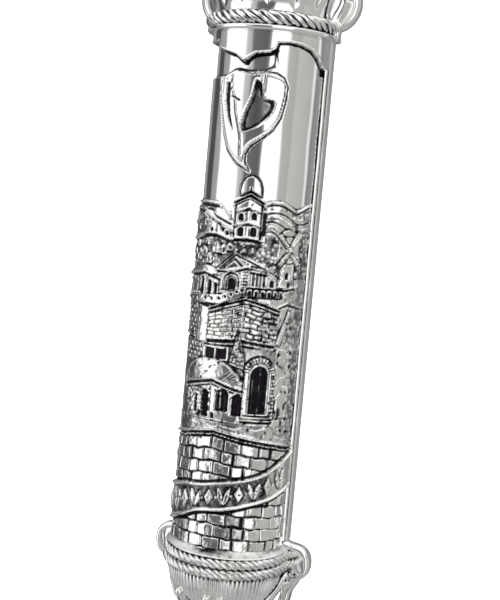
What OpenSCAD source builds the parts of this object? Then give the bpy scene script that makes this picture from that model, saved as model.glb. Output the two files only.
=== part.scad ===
// Half-round mezuzah case in cast and soldered silver-plated metal: a front shell dressed with
// relief, rope bands, crown, ears and cup, a back frame with a lift-off cover, and the rolled
// parchment inside. Z runs up the case, X to the right seen from the front, and the front faces -Y.
// The wall plane is y = 0 and the origin is the centre of the upper screw hole on that plane.

/* [Parchment roll] */
// Width of the parchment, which is the length of the roll
scroll_len = 100; // [70:1:130]
// Outer radius of the rolled parchment
roll_r = 3.9; // [3:0.1:4]
// Radius of the open core of the roll
roll_core_r = 1.4; // [0.8:0.1:2]
// Wall of the clear sleeve around the roll
sleeve_wall = 0.3; // [0.2:0.05:0.5]
// Gap between the roll and its sleeve
sleeve_gap = 0.05; // [0.02:0.01:0.1]

/* [Case body] */
// Radius of the smooth half-round front
field_r = 11.5; // [10.6:0.1:14]
// Straight side between the half-round and the wall
side_depth = 5; // [4:0.1:6]
// Thickness of the front shell
shell_wall = 1.5; // [1.2:0.1:1.8]
// Room past each end of the roll, up to the end of the visible body
end_room = 3.2; // [2.8:0.1:6]
// How far the shell tucks in behind each band
tuck = 1.8; // [1:0.1:2.4]
// Depth of the pockets cut into the front
pocket_depth = 0.65; // [0.3:0.05:0.8]

/* [Back] */
// Thickness of the back frame
frame_t = 2; // [1.8:0.1:3]
// How far the back frame stands out past the smooth front
frame_lip = 0.3; // [0.1:0.05:0.6]
// Width of the ledge that the shell stands on, inside its wall
seat_w = 1.4; // [1:0.1:2]
// Width of the ledge that the cover plate rests on
ledge_w = 0.8; // [0.5:0.1:1]
// Depth of the rebate that takes the cover plate
rebate_depth = 0.9; // [0.7:0.05:1.2]
// Clearance all round the cover
cover_clear = 0.15; // [0.1:0.01:0.25]
// Wall of the skirt inside the cover
skirt_t = 0.8; // [0.6:0.1:1.2]
// How far the skirt reaches past the back frame into the case
skirt_reach = 0.9; // [0.4:0.1:1.5]
// Radius of the fingernail notch at each end of the cover
notch_r = 2.6; // [1.5:0.1:3]

/* [Relief] */
// How far the collar stands proud of the front
collar_proud = 0.8; // [0.5:0.05:1]
// How far the side rims stand out past the front
rim_proud = 1; // [0.7:0.05:1.4]
// How far the relief runs back along each straight side
side_show = 1.25; // [0.8:0.05:1.6]
// How far the emblem stands proud
emblem_proud = 0.35; // [0.2:0.05:0.6]
// Ground of the town relief
town_ground = 0.2; // [0.1:0.05:0.3]
// Highest building of the town relief
town_proud = 0.75; // [0.5:0.05:0.9]
// Stone wall below the town
stone_proud = 0.4; // [0.2:0.05:0.5]
// Ribbon across the stone wall, above the stones
ribbon_proud = 0.6; // [0.3:0.05:0.8]

/* [Bands] */
// How far the bands stand out from the smooth front
band_reach = 2.2; // [1.6:0.1:3]
// Height of the plain ring under the upper rope
ring_h = 1.1; // [0.8:0.1:1.6]
// Thickness of the upper rope
rope_d = 2.8; // [2.2:0.1:3.2]
// Thickness of each lower rope
low_rope_d = 2.2; // [1.8:0.1:2.6]
// Height of the cove above the lower ropes
cove_h = 1.9; // [1.4:0.1:2.4]
// Depth of the square end tabs, from the wall
tab_depth = 1.5; // [1:0.1:2]

/* [Ends] */
// Height of the crown above the upper rope
crown_h = 12.6; // [10:0.1:14]
// Flare of the crown past the smooth front
crown_flare = 1.9; // [1:0.1:2.4]
// Height of the cup below the lower ropes
cup_h = 13.7; // [11:0.1:16]
// Radius of the upper ears
ear_r = 6; // [5:0.1:6.5]
// Radius of the lower ears
low_ear_r = 4.8; // [4:0.1:5.2]
// Thickness of the ears, from the wall
ear_t = 3.2; // [2.4:0.1:3.6]
// Width of the raised rim round each ear
ear_rim = 1.6; // [1:0.1:2]
// Depth of the panel inside the rim
ear_panel_depth = 0.8; // [0.4:0.1:1.2]
// Reach of the ears past the smooth front
ear_reach = 6.1; // [5:0.1:7]
// Thickness of the leaf scrolls under the lower ears, from the wall
leaf_t = 2.8; // [2:0.1:3.2]
// Radius of the pearls on the cup
pearl_r = 0.8; // [0.5:0.05:1]

/* [Screw lugs] */
// Radius of the screw holes
hole_r = 1.6; // [1.2:0.05:2]
// Radius of the rounded lugs
lug_r = 4.4; // [3.6:0.1:5]
// Thickness of the lugs
lug_t = 2; // [1.6:0.1:3]
// Length of the foot that runs into the crown or the cup
lug_foot = 4; // [3.2:0.1:5]
// Width of the raised boss round each screw hole
boss_w = 1.8; // [1:0.1:2.4]
// Height of the boss
boss_h = 0.5; // [0.2:0.1:0.8]

/* [Hidden] */
$fn = 96;

// The relief is drawn for this length and this radius, and follows the body when they change
art_len = 107;
art_r = 11.5;

// The front's relief reaches this far behind the upper ring
BAND_LAP = 0.3;
// The lower cove starts this far up the relief
COVE_LAP = 1.5;
// Square tabs at the ends of the upper ring stand out this far past the rope
TAB_LIP = 0.5;
// Height at which the cup starts, as its leaves and pearls are drawn
art_cup_z = -58.3;

half_len = scroll_len / 2 + end_room + BAND_LAP;
inner_r = field_r - shell_wall;
collar_r = field_r + collar_proud;
band_r = field_r + band_reach;
sleeve_r = roll_r + sleeve_gap + sleeve_wall;
sleeve_half = scroll_len / 2 + 0.5;
sleeve_front_gap = 0.35;
roll_y = -side_depth - (inner_r - sleeve_r - sleeve_front_gap);

open_w = inner_r - seat_w;
open_half = sleeve_half + 0.5 + skirt_t + cover_clear;
shell_end = half_len + tuck;

ring_z0 = half_len - BAND_LAP;
rope_z0 = ring_z0 + ring_h;
rope_z1 = rope_z0 + rope_d;
crown_z1 = rope_z1 + crown_h;
low_cove_z0 = -half_len + COVE_LAP;
low_rope_z0 = low_cove_z0 - cove_h;
low_rope_z1 = low_rope_z0 - 2 * low_rope_d;
cup_z1 = low_rope_z1 - cup_h;
hole_z = crown_z1 + 2.8;
low_hole_z = cup_z1 - 2.8;
ear_z = rope_z1 + 4.1;
low_ear_z = low_rope_z0 - 3.3;
low_ear_reach = ear_reach - 0.2;

// The relief is drawn off centre by this much arc
TURNED = 2;
// Groove between the relief and each side rim
GROOVE = 0.35;
TALL = 200;

// Outline of the collar's torn lower edge, as [arc, height]
COLLAR = [[-18, 51], [-10.6, 51], [-10.2, 49.6], [-8, 49], [-5.2, 48.2], [-3.4, 46.9], [-2.4, 47.6],
    [-1, 48.4], [1.8, 48.8], [3, 49.6], [3.4, 51], [8, 50.9], [10.6, 50.2], [12.6, 49],
    [14.2, 47.4], [18, 47.4], [18, 54], [-18, 54]];
// Pocket between the collar and the emblem
POCKET = [[-18, 43.9], [-7.2, 43.9], [-5.2, 45.4], [-1.5, 44.7], [1.4, 45.3], [2.4, 48.6],
    [-1, 48.2], [-3.4, 46.7], [-5.2, 48], [-10.2, 49.4], [-18, 50.8]];
EMBLEM = [[-8.9, 43.6], [-8.7, 40], [-7.7, 36], [-6.6, 32], [-5.4, 29], [-3, 26.6], [-0.4, 25.3],
    [-1.7, 27], [-1.7, 28.6], [-0.6, 30.4], [1.4, 31.9], [3.6, 33.8], [5, 36.2], [5.8, 39.5],
    [5.9, 42.5], [5, 44.1], [1.6, 45.1], [-1.5, 44.5], [-5.2, 45.2], [-7.2, 43.7]];
EMBLEM_HOLLOW = [[-0.4, 43.6], [-1, 40], [-2.4, 37], [-2.9, 34.2], [-2.6, 32.8], [0.8, 34.6],
    [3, 36.8], [3.7, 38.6], [3.4, 39.4], [1.2, 40], [0.4, 43]];
EMBLEM_SLOT = [[-7.1, 42.8], [-7, 39], [-6.3, 36], [-4.6, 33.2], [-5.9, 36.4], [-6.4, 39.4],
    [-6.5, 42.8]];

// Edge between the town and the stone wall
LEDGE = [[-18, -30.6], [-3, -28.1], [18, -31.4]];
GROUND = concat([[18, 19.5], [14.4, 19.3], [10.6, 18.1], [7.5, 19.6], [5, 19.6], [3, 18.6],
    [2.6, 14], [-2.2, 14], [-6, 18.2], [-10, 18.7], [-18, 18.7]], LEDGE);
// Buildings, as [share of the full relief height, outline]
TOWN = [
    [1, [[-2.2, 12], [-2.2, 18.5], [-2.6, 19], [-1.9, 20.4], [-1.6, 22.4], [-0.8, 24], [0.5, 24.8],
        [1.7, 24.2], [2.6, 22.3], [2.9, 20.4], [3.2, 19.2], [2.9, 18.5], [2.9, 12]]],
    [0.85, [[-5.4, 0.5], [-5.4, 5], [-1.4, 8.8], [1.6, 7.4], [7, 5], [7, 1.2], [1.2, -0.1]]],
    [0.7, [[-14, -0.6], [-14, 3.2], [-8.2, 4.7], [-5, 3.8], [-5, -1.2]]],
    [0.5, [[-15, 11], [-15, 13.8], [-9.8, 16.8], [-2.4, 12.8], [-2.4, 11], [-6, 12.3]]],
    [0.75, [[7.6, 2.4], [8.2, 8.2], [9.6, 9.4], [10.8, 8.2], [11.4, 2.4]]],
    [0.95, [[6.4, 6.8], [7, 6.4], [12.4, 13.2], [11.8, 13.6]]],
    [0.95, [[12.4, 6.2], [13, 6.8], [7.4, 13.2], [6.8, 12.6]]],
    [0.95, [[-6.2, -9.4], [-6.2, -2.8], [1.1, -0.2], [8.3, -2], [8.3, -9.4]]],
    [0.6, [[-10, -8.6], [-10, -2.2], [-5.8, -3.2], [-5.8, -9]]],
    [0.6, [[7.8, -9.2], [10.4, -2.4], [12.8, -9.2]]],
    [0.55, [[-0.9, -13.8], [0.4, -6.9], [2.3, -14.8]]],
    [0.95, [[-12, -19.4], [-10, -17.4], [-9, -15], [-7, -13.4], [-3, -13.3], [-0.8, -14.3],
        [3.4, -18.4], [3.4, -19.2], [2.8, -25.6], [-10.4, -25.6], [-10.4, -19.6]]],
    [0.85, [[2.4, -25.2], [2.4, -14.2], [3.4, -12.7], [5.3, -12], [7.2, -12.7], [8.3, -14.2],
        [8.3, -25.2]]],
    [0.75, [[-18, -30.2], [-18, -29.3], [-3, -27], [16, -29.8], [16, -30.6], [-3, -27.8]]],
];
// Ribbon, lower edge then upper edge
RIBBON = [[-18, -50.4], [-9, -47], [-5, -45.1], [0, -44.2], [5, -43], [10, -41.9], [14.4, -40.7],
    [14.4, -33], [12, -33.9], [10, -35], [8, -36], [5, -37], [0, -38], [-5, -39.1], [-9, -39.7],
    [-18, -41.8]];
// Leaf scroll between each lower ear and the foot of the cup
CUP_LEAF = [[16, -60.4], [14.8, -62], [14.1, -63.6], [13.8, -65.2], [12.9, -67.2], [11, -69.4],
    [8.4, -71], [5.2, -71.2], [8, -65], [10, -60], [12.8, -58.6]];
// Pearls, as [place across the cup, height]
PEARLS = [[-6.5, -63.4], [0.5, -63.2], [3.4, -63.2]];

// Moves the case so that the upper screw hole is at the origin
module from_hole() {
    translate([0, 0, -hole_z]) children();
}

function across(arc, r = field_r) = r * sin(arc / art_r * 180 / PI);
function up(z) = z * half_len / (art_len / 2);
function clipped(arc) = max(-art_r * PI / 2, min(art_r * PI / 2, arc));
function placed(points) = [for (p = points)
    [across(clipped(p[0] + TURNED)) + (abs(p[0]) >= 18 ? 2 * sign(p[0]) : 0), up(p[1])]];

// Solid with the D-shaped section of the case
module d_solid(r, z0, z1, back = 0) {
    translate([0, -side_depth, z0]) rotate_extrude(angle = 180, start = 180) square([r, z1 - z0]);
    translate([-r, -side_depth, z0]) cube([2 * r, side_depth - back, z1 - z0]);
}

// D-shaped skin between two radii
module d_skin(r0, r1, z0, z1, back = 0) {
    difference() {
        d_solid(r1, z0, z1, back);
        translate([0, 0.5, 0]) d_solid(r0, z0 - 1, z1 + 1);
        d_solid(r0, z0 - 1, z1 + 1);
    }
}

// Sweeps a section, drawn as [radius, height], round the front and along both sides
module d_sweep(back = 0) {
    translate([0, -side_depth, 0]) rotate_extrude(angle = 180, start = 180) children();
    for (side = [0, 1]) {
        mirror([side, 0, 0]) translate([0, -back, 0]) rotate([90, 0, 0])
            linear_extrude(side_depth - back) children();
    }
}

// Prism through the case from an outline seen from the front
module through(points) {
    rotate([90, 0, 0]) linear_extrude(TALL, center = true) polygon(points);
}

// Part of the skin between two radii, cut to an outline
module patch(r0, r1, points) {
    intersection() {
        d_skin(r0, r1, -half_len, ring_z0, frame_t);
        through(placed(points));
    }
}

module front_shell() {
    color("gainsboro") from_hole() difference() {
        d_solid(field_r, -shell_end, shell_end, frame_t);
        d_solid(inner_r, -shell_end - 1, shell_end + 1);
        patch(field_r - pocket_depth, field_r + 1, POCKET);
        patch(field_r - pocket_depth, field_r + 1, EMBLEM_HOLLOW);
    }
}

module back_frame() {
    rebate_w = open_w + ledge_w;
    rebate_half = open_half + ledge_w;
    lip_w = field_r + frame_lip;
    color("silver") from_hole() difference() {
        union() {
            translate([-field_r, -frame_t, -shell_end]) cube([2 * field_r, frame_t, 2 * shell_end]);
            translate([-lip_w, -frame_t, low_cove_z0]) cube([2 * lip_w, frame_t, ring_z0 - low_cove_z0]);
        }
        translate([-open_w, -frame_t - 1, -open_half]) cube([2 * open_w, frame_t + 2, 2 * open_half]);
        translate([-rebate_w, -rebate_depth, -rebate_half])
            cube([2 * rebate_w, frame_t, 2 * rebate_half]);
    }
}

module back_cover() {
    plate_w = open_w + ledge_w - cover_clear;
    plate_half = open_half + ledge_w - cover_clear;
    plate_t = rebate_depth - 0.1;
    skirt_w = open_w - cover_clear;
    skirt_half = open_half - cover_clear;
    skirt_y = -frame_t - skirt_reach;
    color("silver") from_hole() difference() {
        union() {
            translate([-plate_w, -plate_t, -plate_half]) cube([2 * plate_w, plate_t, 2 * plate_half]);
            translate([-skirt_w, skirt_y, -skirt_half])
                cube([2 * skirt_w, -skirt_y - plate_t / 2, 2 * skirt_half]);
        }
        translate([skirt_t - skirt_w, skirt_y - 1, skirt_t - skirt_half])
            cube([2 * (skirt_w - skirt_t), 1 - skirt_y - plate_t, 2 * (skirt_half - skirt_t)]);
        for (side = [-1, 1]) {
            translate([0, notch_r / 4, side * (plate_half + notch_r / 4)]) sphere(r = notch_r / 2);
        }
    }
}

module upper_collar() {
    color("gainsboro") from_hole() inside_rim() patch(field_r, collar_r, COLLAR);
}

// Raised rim down each straight side, from the upper ring to the lower cove
module side_rim() {
    edge = -side_depth + side_show + GROOVE;
    crest = field_r + rim_proud;
    lip_w = field_r + frame_lip;
    color("silver") from_hole() for (side = [0, 1]) {
        mirror([side, 0, 0]) translate([0, 0, low_cove_z0]) linear_extrude(ring_z0 - low_cove_z0)
            polygon([[field_r, edge], [crest - 0.25, edge + 0.45], [crest - 0.05, edge + 1],
                [crest, edge + 1.8], [crest, 0], [lip_w, 0], [lip_w, -frame_t], [field_r, -frame_t]]);
    }
}

module flame_emblem() {
    color("white") from_hole() difference() {
        patch(field_r, field_r + emblem_proud, EMBLEM);
        through(placed(EMBLEM_HOLLOW));
        through(placed(EMBLEM_SLOT));
    }
}

// Holds a relief inside the side rims
module inside_rim() {
    intersection() {
        children();
        translate([-TALL / 2, -TALL, -TALL / 2]) cube([TALL, TALL - side_depth + side_show, TALL]);
    }
}

module town_relief() {
    color("lightgray") from_hole() inside_rim() {
        patch(field_r, field_r + town_ground, GROUND);
        for (house = TOWN) patch(field_r, field_r + house[0] * town_proud, house[1]);
    }
}

module stone_wall() {
    color("darkgray") from_hole() inside_rim() intersection() {
        d_skin(field_r, field_r + stone_proud, low_cove_z0, 0, frame_t);
        through(placed(concat(LEDGE, [[18, -60], [-18, -60]])));
    }
}

module ribbon_banner() {
    stone_r = field_r + stone_proud;
    color("white") from_hole() inside_rim() patch(stone_r, stone_r + ribbon_proud, RIBBON);
}

module top_ring() {
    color("silver") from_hole() {
        d_sweep(tab_depth) translate([field_r, ring_z0]) square([band_reach, ring_h]);
        for (side = [-1, 1]) {
            translate([side > 0 ? field_r : -band_r - TAB_LIP, -tab_depth, ring_z0])
                cube([band_reach + TAB_LIP, tab_depth, ring_h + rope_d]);
        }
    }
}

// A rope band seated on the smooth front
module rope(z, d) {
    d_sweep(tab_depth) intersection() {
        translate([band_r - d / 2, z]) circle(d = d);
        translate([field_r, z - d]) square([TALL, 2 * d]);
    }
    d_sweep(tab_depth) translate([field_r, z - d / 4]) square([max(0.2, band_reach - d / 2), d / 2]);
}

module top_rope() {
    color("lightgray") from_hole() rope(rope_z0 + rope_d / 2, rope_d);
}

module crown_section() {
    rim_z = rope_z1 + 4.6;
    rim_r = field_r + crown_flare;
    polygon([[0, shell_end], [field_r, shell_end], [field_r, rope_z1], [field_r + 0.3, rope_z1 + 0.4],
        [field_r + 0.6, rope_z1 + 1.6], [rim_r - 0.5, rope_z1 + 3], [rim_r, rim_z],
        [rim_r - 0.2, rim_z + 0.7], [rim_r - 1.3, rim_z + 1], [rim_r - 2.6, rim_z + 2.6],
        [rim_r - 5, rim_z + 4.6], [rim_r - 8, rim_z + 6.2], [rim_r - 10.4, crown_z1], [0, crown_z1]]);
}

module top_crown() {
    color("gainsboro") from_hole() difference() {
        d_sweep() crown_section();
        lug_solid(hole_z, -1);
    }
}

// Round ear with a raised rim, reaching to x = reach
module ear(reach, z, r) {
    translate([reach - r, 0, z]) rotate([90, 0, 0]) difference() {
        cylinder(r = r, h = ear_t);
        translate([0, 0, ear_t - ear_panel_depth]) cylinder(r = r - ear_rim, h = ear_t);
    }
}

// Keeps an ear off the pieces it is soldered to
module off_crown() {
    difference() {
        children();
        d_sweep() crown_section();
        d_solid(band_r + TAB_LIP, ring_z0, rope_z1);
    }
}

module top_ear_right() {
    color("gainsboro") from_hole() off_crown() ear(field_r + ear_reach, ear_z, ear_r);
}

module top_ear_left() {
    color("gainsboro") from_hole() off_crown() mirror([1, 0, 0])
        ear(field_r + ear_reach, ear_z, ear_r);
}

// Rounded lug with a raised boss, its foot running back into the end of the case
module lug_solid(z, dir) {
    translate([0, 0, z]) rotate([90, 0, 0]) {
        cylinder(r = lug_r, h = lug_t);
        cylinder(r = hole_r + boss_w, h = lug_t + boss_h);
        translate([-lug_r, dir > 0 ? 0 : -lug_foot]) cube([2 * lug_r, lug_foot, lug_t]);
    }
}

module lug(z, dir) {
    difference() {
        lug_solid(z, dir);
        translate([0, 1, z]) rotate([90, 0, 0]) cylinder(r = hole_r, h = lug_t + 4);
    }
}

module top_lug() {
    color("silver") from_hole() lug(hole_z, -1);
}

module bottom_cove() {
    color("silver") from_hole() d_sweep() difference() {
        translate([field_r, low_rope_z0]) square([band_reach, cove_h]);
        translate([band_r + 0.6, low_cove_z0 + 0.4]) circle(r = band_reach - 0.2);
    }
}

module bottom_rope_upper() {
    color("lightgray") from_hole() rope(low_rope_z0 - low_rope_d / 2, low_rope_d);
}

module bottom_rope_lower() {
    color("lightgray") from_hole() rope(low_rope_z0 - low_rope_d * 1.5, low_rope_d);
}

module cup_section() {
    polygon([[0, -shell_end], [field_r, -shell_end], [field_r, low_rope_z1],
        [field_r + 1, low_rope_z1], [field_r + 0.8, low_rope_z1 - 1.7],
        [field_r + 0.2, low_rope_z1 - 3.9], [field_r - 1.2, low_rope_z1 - 6.7],
        [field_r - 2.5, low_rope_z1 - 9], [field_r - 4.6, low_rope_z1 - 11.4],
        [field_r - 7, cup_z1], [0, cup_z1]]);
}

module bottom_cup() {
    color("lightgray") from_hole() difference() {
        d_sweep() cup_section();
        lug_solid(low_hole_z, 1);
    }
}

module off_cup() {
    difference() {
        children();
        d_sweep() cup_section();
        d_solid(band_r, low_rope_z1, low_cove_z0 + 2);
    }
}

module bottom_ear_right() {
    color("gainsboro") from_hole() off_cup() ear(field_r + low_ear_reach, low_ear_z, low_ear_r);
}

module bottom_ear_left() {
    color("gainsboro") from_hole() off_cup() mirror([1, 0, 0])
        ear(field_r + low_ear_reach, low_ear_z, low_ear_r);
}

module cup_leaf() {
    low = low_rope_z1 - art_cup_z;
    difference() {
        rotate([90, 0, 0]) linear_extrude(leaf_t)
            polygon([for (p = CUP_LEAF) [p[0] + field_r - art_r, p[1] + low]]);
        d_sweep() cup_section();
        d_solid(band_r, low_rope_z1, low_cove_z0 + 2);
        translate([field_r + low_ear_reach - low_ear_r, 1, low_ear_z]) rotate([90, 0, 0])
            cylinder(r = low_ear_r, h = TALL);
    }
}

module cup_leaf_right() {
    color("white") from_hole() cup_leaf();
}

module cup_leaf_left() {
    color("white") from_hole() mirror([1, 0, 0]) cup_leaf();
}

module cup_pearls() {
    low = low_rope_z1 - art_cup_z;
    seat_r = field_r - 0.4 + pearl_r / 2;
    color("white") from_hole() difference() {
        for (p = PEARLS) {
            translate([p[0], -side_depth - sqrt(pow(seat_r, 2) - pow(p[0], 2)), p[1] + low])
                sphere(r = pearl_r, $fn = 40);
        }
        d_sweep() cup_section();
    }
}

module bottom_lug() {
    color("silver") from_hole() lug(low_hole_z, 1);
}

module klaf_roll() {
    color("wheat") from_hole() translate([0, roll_y, -scroll_len / 2]) difference() {
        cylinder(r = roll_r, h = scroll_len);
        translate([0, 0, -1]) cylinder(r = roll_core_r, h = scroll_len + 2);
    }
}

module klaf_sleeve() {
    color("aliceblue") from_hole() translate([0, roll_y, -sleeve_half]) difference() {
        cylinder(r = sleeve_r, h = 2 * sleeve_half);
        translate([0, 0, -1]) cylinder(r = sleeve_r - sleeve_wall, h = 2 * sleeve_half + 2);
    }
}

front_shell();
back_frame();
back_cover();
upper_collar();
side_rim();
flame_emblem();
town_relief();
stone_wall();
ribbon_banner();
top_ring();
top_rope();
top_crown();
top_ear_right();
top_ear_left();
top_lug();
bottom_cove();
bottom_rope_upper();
bottom_rope_lower();
bottom_cup();
bottom_ear_right();
bottom_ear_left();
cup_leaf_right();
cup_leaf_left();
cup_pearls();
bottom_lug();
klaf_roll();
klaf_sleeve();
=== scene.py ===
import math

import bpy
import numpy as np
from mathutils import Matrix, Vector


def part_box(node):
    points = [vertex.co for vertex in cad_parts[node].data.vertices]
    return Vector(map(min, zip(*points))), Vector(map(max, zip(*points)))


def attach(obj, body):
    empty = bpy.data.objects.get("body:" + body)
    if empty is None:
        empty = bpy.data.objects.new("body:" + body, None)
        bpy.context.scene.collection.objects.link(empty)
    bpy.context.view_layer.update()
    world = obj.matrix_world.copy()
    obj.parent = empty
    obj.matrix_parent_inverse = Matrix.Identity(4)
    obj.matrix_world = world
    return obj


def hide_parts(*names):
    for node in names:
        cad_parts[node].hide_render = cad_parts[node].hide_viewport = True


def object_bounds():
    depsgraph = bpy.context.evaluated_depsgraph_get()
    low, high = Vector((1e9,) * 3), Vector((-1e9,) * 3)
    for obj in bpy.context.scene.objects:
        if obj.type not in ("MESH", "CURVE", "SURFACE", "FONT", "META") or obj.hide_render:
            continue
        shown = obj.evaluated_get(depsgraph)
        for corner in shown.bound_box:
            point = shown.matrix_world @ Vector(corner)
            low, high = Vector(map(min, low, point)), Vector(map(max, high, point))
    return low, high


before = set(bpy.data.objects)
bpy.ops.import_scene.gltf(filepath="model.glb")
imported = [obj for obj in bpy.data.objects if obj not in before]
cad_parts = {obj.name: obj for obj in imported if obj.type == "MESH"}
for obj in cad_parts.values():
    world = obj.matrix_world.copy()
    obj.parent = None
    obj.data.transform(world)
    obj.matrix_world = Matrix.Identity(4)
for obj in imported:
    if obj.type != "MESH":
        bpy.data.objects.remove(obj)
cad_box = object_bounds()

# ---------------------------------------------------------------- sizes, in millimetres
MM = 0.001


def node_box(name):
    """A CAD node's corners in mm, with z measured from the middle of the case."""
    low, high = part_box(name)
    return np.array(low) / MM - [0, 0, CENTRE], np.array(high) / MM - [0, 0, CENTRE]


shell_low, shell_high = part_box("front_shell")
CENTRE = (shell_low.z + shell_high.z) / 2 / MM
FIELD_R = shell_high.x / MM
SHELL_END = shell_high.z / MM - CENTRE
AXIS_Y = shell_low.y / MM + FIELD_R
BACK_Y = shell_high.y / MM
WALL = 1.5
INNER_R = FIELD_R - WALL
BAND_R = node_box("top_rope")[1][0]
RING_Z0 = node_box("top_ring")[0][2]
ROPE_Z0 = node_box("top_rope")[0][2]
ROPE_Z1 = node_box("top_rope")[1][2]
CROWN_Z1 = node_box("top_crown")[1][2]
COVE_Z0, COVE_Z1 = node_box("bottom_cove")[0][2], node_box("bottom_cove")[1][2]
LOW_ROPE_Z1 = node_box("bottom_rope_lower")[0][2]
LOW_ROPE_MID = node_box("bottom_rope_upper")[0][2]
CUP_Z1 = node_box("bottom_cup")[0][2]
QUARTER = FIELD_R * math.pi / 2
SIDE_END = QUARTER + BACK_Y - AXIS_Y
# the artwork sits this far round from the middle of the front, and runs this far past a quarter turn
TURNED = 2.0
PAST_QUARTER = 1.25
SHOWN = QUARTER + PAST_QUARTER
ART_LEFT, ART_RIGHT = -SHOWN - TURNED, SHOWN - TURNED
# a place past the left end of the artwork, for outlines that run off it
FAR = -23.6


# ---------------------------------------------------------------- flat drawing tools
def smooth01(x):
    x = np.clip(x, 0, 1)
    return x * x * (3 - 2 * x)


def scatter(seed, scale):
    """Even spread from 0 to 1, fixed by the seed."""
    value = np.sin(seed) * scale
    return value - np.floor(value)


def segment_distance(points, u, z, closed):
    """Distance to a line through the points, and whether each place is inside the loop."""
    best = np.full(u.shape, 1e9)
    inside = np.zeros(u.shape, bool)
    count = len(points)
    for i in range(count if closed else count - 1):
        (ax, az), (bx, bz) = points[i], points[(i + 1) % count]
        ex, ez = bx - ax, bz - az
        t = np.clip(((u - ax) * ex + (z - az) * ez) / max(ex * ex + ez * ez, 1e-9), 0, 1)
        best = np.minimum(best, (u - ax - t * ex) ** 2 + (z - az - t * ez) ** 2)
        if closed and az != bz:
            crosses = ((az > z) != (bz > z)) & (u < ex * (z - az) / ez + ax)
            inside ^= crosses
    return np.sqrt(best), inside


def blur(field, sigma):
    """Gaussian blur; sigma is in cells."""
    reach = max(1, int(3 * sigma))
    taps = np.exp(-0.5 * (np.arange(-reach, reach + 1) / sigma) ** 2)
    taps /= taps.sum()
    for axis in (0, 1):
        padded = np.pad(field, [(reach, reach) if a == axis else (0, 0) for a in (0, 1)], mode="edge")
        total = np.zeros_like(field)
        for k, tap in enumerate(taps):
            cut = [slice(None), slice(None)]
            cut[axis] = slice(k, k + field.shape[axis])
            total += tap * padded[tuple(cut)]
        field = total
    return field


def spline(points, steps=6, closed=False):
    """Smooth curve through the points."""
    p = np.asarray(points, float)
    n = len(p)
    out = []
    for i in range(n if closed else n - 1):
        if closed:
            a, b, c, d = p[(i - 1) % n], p[i], p[(i + 1) % n], p[(i + 2) % n]
        else:
            a, b, c, d = p[max(i - 1, 0)], p[i], p[i + 1], p[min(i + 2, n - 1)]
        for s in range(steps):
            t = s / steps
            out.append(0.5 * (2 * b + (c - a) * t + (2 * a - 5 * b + 4 * c - d) * t * t
                              + (3 * b - a - 3 * c + d) * t ** 3))
    if not closed:
        out.append(p[-1])
    return np.array(out)


def arch(c, z0, w, h):
    """Outline of an arched opening of width w and full height h on sill z0."""
    r = w / 2
    top = [(c + r * math.cos(a), z0 + h - r + r * math.sin(a)) for a in np.linspace(0, math.pi, 9)]
    return [(c - r, z0), (c + r, z0)] + top


def half_round(u, z, r, count):
    """Points over the top of an arch about its centre, from left to right."""
    return [(u + r * math.cos(a), z + r * math.sin(a)) for a in np.linspace(math.pi, 0, count)]


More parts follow.
